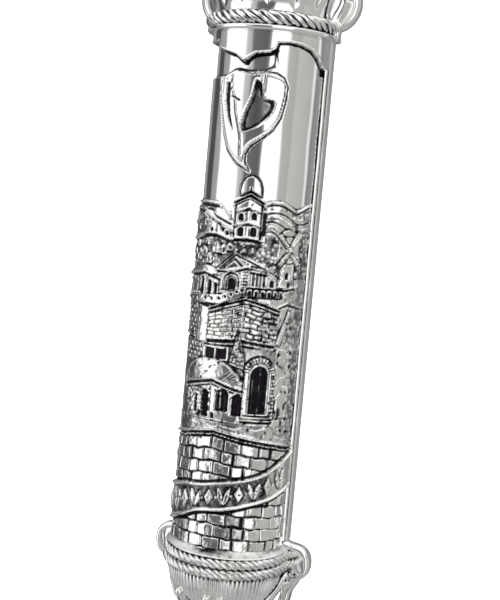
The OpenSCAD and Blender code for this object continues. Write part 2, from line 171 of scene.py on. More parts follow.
class Relief:
    """A height map over the plain surface: u along the arc, z along the length."""

    def __init__(self, u0, u1, z0, z1, pitch):
        self.us = np.linspace(u0, u1, int(round((u1 - u0) / pitch)) + 1) - TURNED
        self.zs = np.linspace(z0, z1, int(round((z1 - z0) / pitch)) + 1)
        self.u, self.z = np.meshgrid(self.us, self.zs)
        self.h = np.zeros(self.u.shape)
        # darkness of each place: black oxide in the hollows together with painted shade
        self.oxide_and_shade = np.zeros(self.u.shape)
        self.rand = np.random.default_rng(7)

    def window(self, points, pad):
        p = np.asarray(points, float)
        low, high = p.min(0) - pad, p.max(0) + pad
        j0, j1 = np.searchsorted(self.us, [low[0], high[0]])
        i0, i1 = np.searchsorted(self.zs, [low[1], high[1]])
        return slice(i0, i1), slice(j0, j1)

    def inside(self, points, bevel):
        """The window round an outline, and how far each place in it counts as inside."""
        s = self.window(points, bevel)
        d, inside = segment_distance(points, self.u[s], self.z[s], True)
        return s, smooth01((bevel / 2 + np.where(inside, d, -d)) / bevel)

    def face(self, points, h, bevel=0.22, oxide_and_shade=0.0):
        """Sets the height and the darkness (oxide and painted shade) inside an outline; each is a value or a
        function of u and z.
        """
        s, w = self.inside(points, bevel)
        level = h(self.u[s], self.z[s]) if callable(h) else h
        tone = oxide_and_shade(self.u[s], self.z[s]) if callable(oxide_and_shade) else oxide_and_shade
        self.h[s] += (level - self.h[s]) * w
        self.oxide_and_shade[s] += (tone - self.oxide_and_shade[s]) * w

    def block(self, points, h, bevel=0.22, gap=0.3, oxide_and_shade=0.0):
        """A face with a sunken dark outline round it."""
        self.line(points, gap + 0.15, -0.22, 0.9, closed=True)
        self.face(points, h, bevel, oxide_and_shade)

    def hole(self, points, depth, oxide_and_shade=1.0):
        """Lowers and darkens what lies inside an outline."""
        s, w = self.inside(points, 0.16)
        self.h[s] -= depth * w
        self.oxide_and_shade[s] = np.maximum(self.oxide_and_shade[s], oxide_and_shade * w)

    def line(self, points, w, dh, oxide_and_shade=0.0, closed=False):
        """A stroke of half width w: a bead when dh is above 0, a groove when it is below."""
        s = self.window(points, w)
        d, _ = segment_distance(points, self.u[s], self.z[s], closed)
        bump = 0.5 + 0.5 * np.cos(math.pi * np.clip(d / w, 0, 1))
        self.h[s] += dh * bump
        if dh > 0:
            self.oxide_and_shade[s] *= 1 - smooth01(1.6 * bump)
        self.oxide_and_shade[s] = np.maximum(self.oxide_and_shade[s], oxide_and_shade * smooth01(1.8 * bump))

    def dot(self, c, r, dh, oxide_and_shade=0.0):
        self.line([c, (c[0] + 0.01, c[1])], r, dh, oxide_and_shade)

    def eave(self, points, w=0.3, dh=0.3, drop=0.45, dark=0.95):
        """A bead with a dark shadow groove under it."""
        self.line([(u, z - drop) for u, z in points], w, -0.3, dark)
        self.line(points, w, dh)

    def bricks(self, points, bw, bh, level, rise=None, joint=0.16, depth=0.3, jitter=0.05, dark=0.9,
               start=0.0, tilt=0.0, wobble=0.0, front_darkening=0.0):
        """Courses of bricks inside an outline; rise(u, z) lifts a course off the horizontal."""
        s, w = self.inside(points, 0.22)
        u, z = self.u[s], self.z[s]
        sway = np.sin(1.1 * u + 0.9 * z) + 0.6 * np.sin(2.3 * u - 1.7 * z)
        v = z - (rise(u, z) if rise else 0) + wobble * sway
        row = np.floor(v / bh)
        shift = np.sin(row * 4.7 + 1.3)
        shift += 0.8 * np.sin(1.3 * u + 2.9 * row)
        along = (u - start) / bw + 0.5 * (row % 2) + 1.6 * wobble * shift
        col = np.floor(along)
        in_u, in_v = along - col, v / bh - row
        edge_u = np.minimum(in_u, 1 - in_u) * bw
        edge_v = np.minimum(in_v, 1 - in_v) * bh
        edge = np.minimum(edge_u, edge_v)
        chance = scatter(row * 12.9898 + col * 78.233, 43758.5453)
        other = scatter(row * 39.346 + col * 11.135, 24634.6345)
        width = joint * (1 + 5 * wobble * (2 * other - 1))
        groove = 1 - smooth01((edge - width * 0.4) / width)
        h = level + jitter * (2 * chance - 1) - depth * groove
        h = h + tilt * ((2 * chance - 1) * (in_u - 0.5) + (2 * other - 1) * (in_v - 0.5))
        self.h[s] += (h - self.h[s]) * w
        # painted reflection: some stones round the front middle are darkened as if they mirrored the studio's
        # dark front
        darker_patches = front_darkening * np.exp(-((u - 0.5) / 4) ** 2) * (chance > 0.3) * (0.5 + 0.5 * other)
        self.oxide_and_shade[s] += (np.maximum(dark * groove, darker_patches) - self.oxide_and_shade[s]) * w

    def bush(self, points, count, r0, r1, dh=0.3, dark=0.85):
        """Foliage or rubble: small bumps with dark gaps between them."""
        p = np.asarray(points, float)
        low, high = p.min(0), p.max(0)
        s, w = self.inside(points, 0.3)
        self.oxide_and_shade[s] = np.maximum(self.oxide_and_shade[s], dark * 0.8 * w)
        self.h[s] -= 0.18 * w
        made = 0
        while made < count:
            c = low + self.rand.random(2) * (high - low)
            _, ok = segment_distance(points, np.array([c[0]]), np.array([c[1]]), True)
            if ok[0]:
                r = r0 + (r1 - r0) * self.rand.random()
                # a dark hollow set a little below each bump, painted shade under it
                self.dot((c[0], c[1] - 0.25 * r), 1.25 * r, -0.12, dark)
                self.dot(c, r, dh * (0.7 + 0.6 * self.rand.random()))
                made += 1

    def hut(self, c, z0, w, h, roof, level):
        """Little house with a pitched roof and a dark door."""
        r = w / 2
        self.block([(c - r, z0), (c + r, z0), (c + r, z0 + h), (c, z0 + h + roof), (c - r, z0 + h)], level)
        self.line([(c - r - 0.1, z0 + h), (c, z0 + h + roof), (c + r + 0.1, z0 + h)], 0.2, 0.2)
        self.hole(arch(c, z0 + 0.25 * h, 0.36 * w, 0.6 * h), 0.4)


# ---------------------------------------------------------------- the case's wrapped surface
PITCH = 0.15
COLLAR = [(FAR, 51), (-10.6, 51), (-10.2, 49.7), (-8.2, 49), (-5.2, 48.2), (-3.9, 47.2), (-3.4, 46.8),
          (-2.6, 47.3), (-1, 48.4), (1.8, 48.8), (3, 49.6), (3.4, 50.9), (5.6, 51.1), (8, 50.9),
          (10.6, 50.2), (12.4, 49.1), (13.9, 47.7), (14.9, 47), (19.6, 46.9), (19.6, 53.3), (FAR, 53.3)]
COLLAR_EDGE = COLLAR[:19]
POCKET = [(FAR, 43.9), (-7.4, 43.9), (-5.2, 45.4), (-1.5, 44.9), (1.4, 45.3), (3.2, 46.2), (3.4, 49.5),
          (3, 52), (FAR, 52)]
EMBLEM = [(-8.9, 43.4), (-8.7, 40), (-7.8, 36), (-6.7, 32), (-5.4, 29), (-3.2, 26.7), (-0.4, 25.2),
          (-1.5, 26.8), (-1.6, 28.6), (-0.6, 30.3), (1.4, 31.8), (3.6, 33.7), (5, 36.2), (5.7, 39.5),
          (5.9, 42.5), (5, 44.1), (3.4, 44.9), (1.6, 45), (-1.5, 44.4), (-3.4, 45), (-5.2, 45.1),
          (-7.4, 44.2)]
HOLLOW = [(-0.4, 43.4), (-1, 40), (-2.2, 37), (-2.8, 34.2), (-2.5, 33), (-0.8, 33.6), (0.8, 34.6),
          (2.9, 36.8), (3.6, 38.6), (3.3, 39.5), (1.9, 39.6), (1.2, 40.4), (0.6, 42.8)]
SLOT = [(-7.1, 42.6), (-7.1, 39), (-6.3, 36), (-4.6, 33.2), (-5.6, 36.4), (-6, 39.4), (-6.1, 42.6)]
LEDGE = [(FAR, -30.9), (-15.8, -30.2), (-3, -27.6), (15, -30.8), (19.6, -31.4)]
GROUND = [(17.6, 19.9), (14.5, 19.2), (12.6, 18.6), (10.6, 18.1), (9, 18.9), (7.2, 19.7), (5, 19.6),
          (3.2, 19), (2.8, 14), (-2.1, 14), (-5.6, 18.1), (-6.2, 18.7), (-13.4, 18.8), (FAR, 18.7),
          (FAR, -31.5), (17.6, -31.5)]
RIBBON_TOP = spline([(FAR, -42.6), (-16, -41.3), (-12, -40.3), (-9.2, -39.6), (-5, -39.1), (0, -38), (5, -37),
                     (8, -36), (10, -35), (12.2, -33.8), (14.5, -32.7), (17.6, -31.6)], 4)
RIBBON_LOW = spline([(FAR, -51), (-16, -49.6), (-12.4, -48.2), (-9.2, -47), (-5, -45.1), (0, -44.3), (5, -43),
                     (8, -42.3), (10, -41.8), (12.2, -41), (14.5, -40.2), (17.6, -39.2)], 4)
RIBBON = np.concatenate([RIBBON_LOW, RIBBON_TOP[::-1]])


def draw_field(r):
    """Torn collar, the pocket under it and the flame emblem on the smooth field."""
    r.face(POCKET, -0.62, 0.5, 0.12)
    r.line([(FAR, 43.9), (-7.6, 43.9)], 0.3, 0.1, 0)
    r.line(COLLAR_EDGE, 0.45, -0.35, 0.9)
    r.face(COLLAR, 0.72, 0.26)
    inner = [(u, z + 0.3) for u, z in COLLAR_EDGE]
    r.line(inner, 0.26, 0.12)
    r.hole([(-3.5, 46.2), (-2.4, 46.4), (-2.2, 47.3), (-3, 46.9)], 0.2)
    r.hole([(14.6, 45.9), (17.2, 45.9), (17.2, 47.2), (14.6, 47.3)], 0.8)
    r.line(EMBLEM, 0.42, -0.3, 0.8, closed=True)
    r.face(EMBLEM, 0.36, 0.3)
    r.face(HOLLOW, -0.5, 0.4, 0.55)
    r.face(SLOT, -0.35, 0.3, 0.8)
    r.line(spline(HOLLOW, 4, True), 0.36, 0.26, closed=True)
    edge = spline([(-8.5, 43.2), (-8.3, 40), (-7.4, 36.2), (-6.3, 32.4), (-5, 29.4), (-2.9, 27.1),
                   (-1.1, 26.1)], 4)
    r.line(edge, 0.34, 0.24)
    edge = spline([(-1.7, 28.9), (-0.8, 30.7), (1.2, 32.2), (3.3, 34.1), (4.6, 36.4), (5.3, 39.6),
                   (5.5, 42.4), (4.7, 43.7), (1.7, 44.6)], 4)
    r.line(edge, 0.34, 0.22)
    r.line(spline([(-5.6, 44.2), (-5.4, 41.6), (-4.6, 39.4), (-4.2, 37), (-3.4, 34.4), (-2.6, 31.6),
                   (-2.4, 28.4)], 4),
           0.45, -0.16, 0.35)
    r.line([(-5.2, 39.9), (-3.6, 39.2)], 0.35, -0.25, 0.9)
    for u in (0.55, 1.2):
        r.line([(u, 40.4), (u + 0.1, 44.6)], 0.16, -0.2, 0.85)
    r.line([(-6.8, 43.4), (-5.8, 43.5), (-5.6, 41)], 0.22, 0.16)


def draw_hills(r):
    """Sloping country behind the town, on both sides of the tower."""
    r.face(GROUND, 0.2, 0.5, 0.15)
    right = [(3.1, 18.8), (7, 19.5), (10.6, 17.9), (14.6, 19.2), (17.6, 19.8), (17.6, -9.5), (3.1, -9.5)]
    r.face(right, lambda u, z: 0.3 + 0.1 * np.sin(0.9 * z + 0.5 * u) + 0.05 * np.sin(2.1 * u), 0.4)
    r.eave(spline([(3.1, 18.7), (5, 19.4), (7, 19.4), (9, 18.6), (10.6, 17.9), (12.4, 18.4), (14.4, 19.1),
                   (17.6, 19.8)], 5),
           0.34, 0.32, 0.6, 0.7)
    for line, w, dh, oxide_and_shade in (
            ([(3.9, 16.9), (6, 17.3), (8.4, 16.8), (11, 15.4), (14.2, 15.6), (17.4, 16.4)], 0.3, -0.25, 0.85),
            ([(4, 16.2), (5.6, 16.5), (7.4, 16), (9.6, 14.9)], 0.42, 0.3, 0),
            ([(3.9, 15.3), (5.6, 15.5), (7.6, 14.8), (8.6, 14.2)], 0.28, -0.28, 0.9),
            ([(10, 16.4), (12, 16.2), (14.2, 17.2), (17.4, 17.6)], 0.4, 0.25, 0),
            ([(9.6, 17), (12, 17), (14.2, 17.9), (17.4, 18.4)], 0.2, -0.2, 0.7),
            ([(11, 14.6), (12.6, 14.2), (14.2, 14.6), (17.4, 14)], 0.35, 0.25, 0),
            ([(10.8, 13.9), (12.6, 13.4), (14.2, 13.8), (17.4, 13.2)], 0.22, -0.25, 0.8),
            ([(4.1, 14.2), (5.4, 14.5), (6.6, 13.6)], 0.35, 0.3, 0),
            ([(4.1, 13.3), (5.4, 13.5), (6.4, 12.8)], 0.24, -0.25, 0.9)):
        r.line(spline(line, 5), w, dh, oxide_and_shade)
    r.bush([(-2.1, 8.9), (1, 7.9), (4, 6.9), (4, 11.3), (-2.1, 11.3)], 34, 0.28, 0.5, 0.3, 0.95)
    r.block([(7.3, 12.9), (7.7, 13.7), (8.4, 14.1), (9.1, 14.2), (9.8, 14), (10.3, 13.6), (10.4, 12.9)], 0.6)
    r.bush([(4.1, 7), (7, 7), (7, 12.4), (4.1, 12.8)], 22, 0.35, 0.62)
    r.bush([(11.4, 4), (17.4, 4), (17.4, 10), (12.6, 10), (11.4, 8)], 36, 0.35, 0.65)
    r.bush([(12, 9.6), (17.4, 9.6), (17.4, 13), (12.8, 13)], 20, 0.35, 0.6)
    left = [(FAR, 18.7), (-6.4, 18.6), (-5.6, 18), (-2.1, 14), (-2.1, 6), (FAR, 6)]
    r.face(left, lambda u, z: 0.26 + 0.06 * np.sin(1.3 * z + 0.7 * u), 0.3)
    r.eave([(FAR, 18.4), (-13.2, 18.5), (-6.4, 18.3)], 0.34, 0.35, 0.6)
    r.eave(spline([(-13.6, 17.2), (-11.6, 17), (-9.8, 17.4), (-8.4, 17.4), (-7.2, 17)], 4), 0.26, 0.25, 0.45)
    r.line([(FAR, 16.8), (-13.6, 16.4), (-12, 16)], 0.3, -0.2, 0.8)
    wall = [(-14.4, 11), (-13.4, 14.2), (-10.2, 16.6), (-5.2, 14), (-2.2, 12.7), (-2.2, 11), (-6.2, 12.2),
            (-10.6, 11.8)]
    r.block(wall, 0.46)
    r.line([(-10.4, 16.8), (-7.6, 15.5), (-5.1, 14.3), (-2.2, 13.1)], 0.48, 0.36)
    r.line([(-10.2, 16), (-7.4, 14.8), (-5, 13.7), (-2.2, 12.4)], 0.2, -0.3, 0.95)
    r.eave([(-7.6, 16.6), (-6.6, 16), (-3.1, 14.7)], 0.25, 0.3, 0.4)
    r.line([(-17, 13.6), (-13.6, 14.7), (-10.6, 16.3)], 0.32, 0.3)
    r.line([(-17, 12.9), (-13.4, 14), (-10.8, 15.3)], 0.22, -0.25, 0.9)
    for c in ((-12, 13.2), (-9.6, 14.2), (-7.8, 13), (-4.9, 13.1), (-3.8, 12.5)):
        r.dot(c, 0.62, -0.55, 1)
        r.line([(c[0] - 0.5, c[1] + 0.5), (c[0], c[1] + 0.72), (c[0] + 0.5, c[1] + 0.5)], 0.2, 0.16)
    r.line([(-6.3, 12.4), (-6.3, 14.4)], 0.2, -0.2, 0.8)
    r.eave(spline([(-17, 10.6), (-13.8, 11), (-10.6, 11.8), (-8.4, 12.2), (-6.2, 12.2), (-4, 11.6),
                   (-2.1, 11)], 4),
           0.36, 0.4, 0.62)
    r.bush([(-19, 6), (-2.1, 6), (-2.1, 10), (-6, 11.3), (-13, 10.2), (-19, 9.6)], 46, 0.34, 0.6, 0.26)
    for c, z0, w, h, roof, level in ((-15.6, 6.2, 1.7, 1.7, 0.9, 0.42), (-13.4, 7.4, 1.6, 1.5, 0.8, 0.5),
                                     (-11.6, 6.4, 1.8, 1.6, 0.9, 0.45), (-9.7, 7.2, 1.6, 1.6, 0.9, 0.55),
                                     (-8, 6, 1.4, 1.5, 0.8, 0.45), (-4.2, 8.2, 1.5, 1.5, 0.8, 0.5),
                                     (-2.9, 9, 1.3, 1.2, 0.6, 0.42), (-12.6, 9.1, 1.4, 0.9, 0.6, 0.35),
                                     (-9, 9.7, 1.5, 0.8, 0.6, 0.35)):
        r.hut(c, z0, w, h, roof, level)
    r.block([(-7.1, 8.3), (-7, 9.4), (-6.4, 10.6), (-5.9, 11), (-5.4, 10.4), (-5, 9.4), (-4.9, 8.3)], 0.6)
    r.line([(-6, 8.4), (-5.9, 10.8)], 0.14, -0.15, 0.7)


def draw_tower(r):
    """Square tower with a pointed dome, seen on its corner."""
    corner = lambda u, z: 0.78 - 0.1 * np.abs(u - 0.5)
    r.line([(3, 12), (3, 18.8)], 0.5, -0.3, 0.9)
    r.block([(-2.2, 11.6), (-2.2, 18.7), (0.5, 20.2), (2.9, 18.9), (2.9, 11.6)], corner)
    r.face([(3, 12.4), (4, 12.6), (4, 18.4), (3, 18.4)], 0.12, 0.2, 1)
    r.face([(3.1, 17.2), (3.9, 17.2), (3.9, 18.6), (3.1, 18.6)], 0.4, 0.15)
    r.hole([(3.3, 17.6), (3.75, 17.6), (3.75, 18.2), (3.3, 18.2)], 0.3)
    r.line([(3.2, 13), (3.2, 17)], 0.16, 0.25)
    r.block([(-1.6, 20.3), (-1.5, 22), (-1.1, 23.2), (-0.4, 24), (0.5, 24.4), (1.4, 24), (2.1, 23.2),
             (2.5, 22), (2.6, 20.3), (0.5, 21.4)], lambda u, z: 0.8 - 0.07 * (u - 0.5) ** 2)
    r.hole([(0.3, 21.4), (0.8, 21.4), (0.7, 22.2), (0.4, 22.2)], 0.25, 0.9)
    for drop, dh in ((0, 0.34), (0.62, 0.26)):
        r.eave([(-2.75 + 0.2 * drop, 19.1 - drop), (0.5, 20.8 - drop), (3.35 - 0.2 * drop, 19.3 - drop)],
               0.3, dh, 0.36, 0.9)
    for z, dh in ((17.3, 0.24), (14.4, 0.24)):
        r.eave([(-2.25, z - 0.2), (0.5, z + 0.6), (2.95, z)], 0.26, dh, 0.4, 0.8)
    r.line([(0.5, 11.8), (0.5, 20)], 0.14, 0.1)
    for c, z0, w, h in ((-1, 15.3, 0.75, 1.35), (1.55, 15.6, 0.75, 1.35), (-0.9, 12.2, 0.95, 1.75),
                        (1.6, 12.3, 0.95, 1.75)):
        frame_line = arch(c, z0, w + 0.5, h + 0.25)
        r.line(frame_line, 0.16, 0.16, closed=True)
        r.hole(arch(c, z0, w, h), 0.55)
    r.eave([(-2.6, 11.5), (0.5, 12), (3.2, 11.5)], 0.3, 0.3, 0.45)


def draw_mill(r):
    """Windmill with four sails."""
    r.block([(7.4, 2.3), (8.2, 8.2), (8.8, 9.2), (9.6, 9.6), (10.3, 9.2), (10.9, 8.2), (11.6, 2.3)],
            lambda u, z: 0.72 - 0.09 * (u - 9.5) ** 2)
    r.eave([(7.9, 7.9), (9.5, 7.5), (11.1, 7.9)], 0.22, 0.2, 0.35, 0.8)
    r.hole(arch(9.3, 4.1, 0.8, 1.4), 0.5)
    r.hole(arch(9.9, 2.4, 0.7, 1.2), 0.45)
    r.eave([(6.9, 2.6), (9.5, 2.2), (12, 2.5)], 0.32, 0.34, 0.5)
    hub = np.array([9.6, 9.9])
    for tip, side in (((12.3, 13.5), 1), ((6.9, 12.9), -1), ((7, 6.7), 1), ((12.8, 6.5), -1)):
        tip = np.array(tip)
        way = (tip - hub) / np.linalg.norm(tip - hub)
        across = np.array([-way[1], way[0]]) * side
        a, b = hub + way * 0.9, tip
        sail = [a - across * 0.25, b - across * 0.25, b + across * 0.75, a + across * 0.6]
        r.block(sail, 0.66, 0.2, 0.26)
        for k in np.linspace(0.12, 0.9, 6):
            m = a + (b - a) * k
            r.line([m - across * 0.12, m + across * 0.6], 0.14, -0.2, 0.8)
        r.line([hub, b], 0.22, 0.25)
    r.dot(hub, 0.6, 0.35)


def draw_houses(r):
    """Temple-fronted house, small house on the left, parapets and bowls."""
    r.bush([(4.8, 2.6), (7.4, 2.4), (7.8, 7), (4.6, 7.4)], 16, 0.34, 0.6)
    r.block([(-5.4, 0.4), (-5.4, 5), (-1.4, 8.8), (1.6, 7.4), (7, 5), (7, 1.2), (1.2, -0.1)], 0.6)
    r.face([(-1, 8.6), (1.4, 7.4), (6.8, 5.1), (6.4, 4.2), (1.2, 6), (-1.2, 8)], 0.82, 0.3)
    for k in range(9):
        a = -0.6 + k * 0.85
        r.line([(a, 8.3 - 0.46 * k), (a - 0.15, 7.6 - 0.42 * k)], 0.13, -0.12, 0.5)
    r.eave([(-5.5, 4.9), (-3.4, 6.8), (-1.4, 8.8), (1.6, 7.6), (7, 5.1)], 0.32, 0.36, 0.42)
    r.face([(-4.3, 5.2), (-1.5, 7.8), (0.4, 6.2)], 0.35, 0.25, 0.85)
    r.line([(-3.2, 5.6), (-1.6, 7), (-0.6, 6.1)], 0.22, 0.22)
    r.eave([(-5.3, 5), (-1.6, 5.2), (1.1, 6.1)], 0.28, 0.34, 0.42)
    r.face([(-4.3, 0.6), (-4.3, 4.2), (0, 4.9), (0, 0.9)], 0.42, 0.25, 0.25)
    for w, h, dh in ((3.5, 3.8, 0.3), (2.5, 3.1, 0.26)):
        r.line(arch(-1.9, 1.1, w, h), 0.22, dh, closed=True)
        r.line(arch(-1.9, 1.1, w - 0.45, h - 0.25), 0.18, -0.22, 0.9, closed=True)
    r.hole(arch(-1.9, 1, 1.5, 2.5), 0.6)
    r.bricks([(0.3, 1.8), (1.5, 2), (1.5, 5.6), (0.3, 5.3)], 1.2, 0.62, 0.8, None, 0.13, 0.3)
    r.face([(1.8, 1.9), (4.9, 2.2), (4.9, 6), (1.8, 6.4)], 0.3, 0.2, 0.75)
    for k, u in enumerate((2.1, 2.8, 3.5, 4.2, 4.9)):
        r.line([(u, 2), (u, 4.9)], 0.2, 0.38)
    r.eave([(1.7, 5.3), (5.2, 5)], 0.24, 0.3, 0.4)
    r.line([(1.8, 6), (5.2, 5.4)], 0.2, 0.2)
    r.face([(5.2, 1.6), (7.2, 1.6), (7.2, 4.4), (5.2, 4.8)], 0.5, 0.2)
    r.hole(arch(6.2, 2, 0.8, 1.7), 0.5)
    # small house on the left, with a low hipped roof
    r.block([(-15, -1.6), (-14.6, 3), (-8.4, 4.6), (-4.6, 3.6), (-4.6, -1)], 0.5, oxide_and_shade=0.3)
    r.face([(-16.4, 3.1), (-13.6, 4.4), (-8.4, 5.7), (-6, 5.3), (-4.4, 3.9), (-8, 4)], 0.75, 0.25)
    r.eave([(-16.6, 3), (-8.4, 4.5), (-4.4, 3.4)], 0.32, 0.34, 0.5)
    for c, z0, w, h in ((-14, -0.8, 1.1, 3), (-11.8, -0.5, 1.2, 3.4), (-9.3, -0.3, 1.3, 3.6),
                        (-7, -0.7, 1.1, 3.4), (-5.4, -0.6, 0.8, 2.8)):
        r.hole(arch(c, z0, w, h), 0.6)
        r.line(arch(c, z0, w + 0.45, h + 0.2), 0.15, 0.16, closed=True)
    # parapet with round holes in front
    r.block([(-16, -2.7), (-16, -1.2), (-8.2, -0.3), (-4, 0.1), (1.2, 2), (1.2, 0.2), (-4, -1.9),
             (-8.4, -2.2)], 0.74)
    for c in ((-14.2, -1.9), (-12.2, -1.7), (-10, -1.4), (-7.7, -1.1), (-6, -1), (-4.3, -0.8), (-2.9, -0.3),
              (-1.7, 0.3), (-0.6, 0.9), (0.4, 1.3)):
        r.dot(c, 0.46, -0.55, 1)
    r.line([(-16, -0.8), (-8.2, 0), (-4, 0.4), (1.2, 2.2)], 0.24, 0.26)
    for c in (1.9, 3.2, 4.5, 5.8, 7.1, 8.4):
        r.block(arch(c, 0.1, 1.15, 1.7), 0.7)
        r.hole(arch(c, 0.1, 0.55, 1.15), 0.5)
    r.eave([(1.3, 2.1), (5, 2.2), (9.4, 2)], 0.24, 0.3, 0.3)
    r.bush([(9.4, -1.8), (17.4, -1.8), (17.4, 2), (9.8, 2)], 40, 0.34, 0.66, 0.24, 0.6)
    r.eave([(8.2, -1.6), (10.4, -0.8), (14.4, -1.6), (17.4, -2)], 0.26, 0.26, 0.4)


def draw_keep(r):
    """Great wall of cut stone on its corner, with a spire and a round tower at its sides."""
    r.block([(FAR, -9.6), (FAR, -2), (-14, -1.9), (-10.6, -2.4), (-10.6, -9)], 0.32)
    r.bricks([(FAR, -9.4), (FAR, -3), (-10.8, -3.2), (-10.8, -9)], 1.7, 0.95, 0.36, None, 0.14, 0.2)
    r.block([(-10.6, -10), (-10.6, -2.4), (-6.3, -3), (-6.3, -10)], lambda u, z: 0.62 - 0.08 * (u + 8.5) ** 2)
    r.line([(-8.9, -9.6), (-8.9, -3.2)], 0.2, -0.08, 0.3)
    r.bricks([(-6.4, -9.4), (-6.4, -3.3), (1.15, -0.6), (1.15, -8.6)], 2.0, 1.0, 0.78,
             lambda u, z: 0.36 * (u - 1.15) * np.clip((z + 10) / 8, 0.1, 1), 0.11, 0.26, 0.1, wobble=0.1)
    r.bricks([(1.25, -8.6), (1.25, -0.6), (8.3, -2.4), (8.3, -9.2)], 1.9, 1.0, 0.66,
             lambda u, z: -0.2 * (u - 1.2), 0.15, 0.3, 0.12, 0.9, wobble=0.12)
    r.line([(1.2, -8.8), (1.2, -0.4)], 0.22, 0.16)
    r.bush([(4.4, -8.8), (4.6, -3), (8.2, -3.2), (8.2, -9)], 40, 0.3, 0.5, 0.24, 0.62)
    r.eave([(-6.6, -2.9), (1.2, -0.2), (4.2, -0.8), (8.6, -2.2)], 0.3, 0.36, 0.4)
    r.eave([(-6.5, -3.7), (1.2, -1), (4.2, -1.6), (8.5, -3)], 0.24, 0.26, 0.35)
    r.block([(8.1, -9.2), (10.6, -2.3), (11.5, -2.7), (9.3, -9.6)], 0.72, 0.25)
    r.line([(11.3, -2.9), (9.2, -9.4)], 0.2, -0.25, 0.8)
    r.bush([(11.2, -3), (17.4, -2), (17.4, -9.4), (10.2, -9.4)], 46, 0.36, 0.7, 0.26, 0.75)
    r.eave([(-6.5, -9.3), (1.1, -8.6), (8, -9.4)], 0.32, 0.34, 0.45)
    r.eave([(-10.7, -9.8), (-6.5, -10.3), (1.1, -9.6), (8, -10.4)], 0.3, 0.3, 0.45)
    r.eave([(FAR, -9), (-10.6, -9.4)], 0.3, 0.3, 0.45)


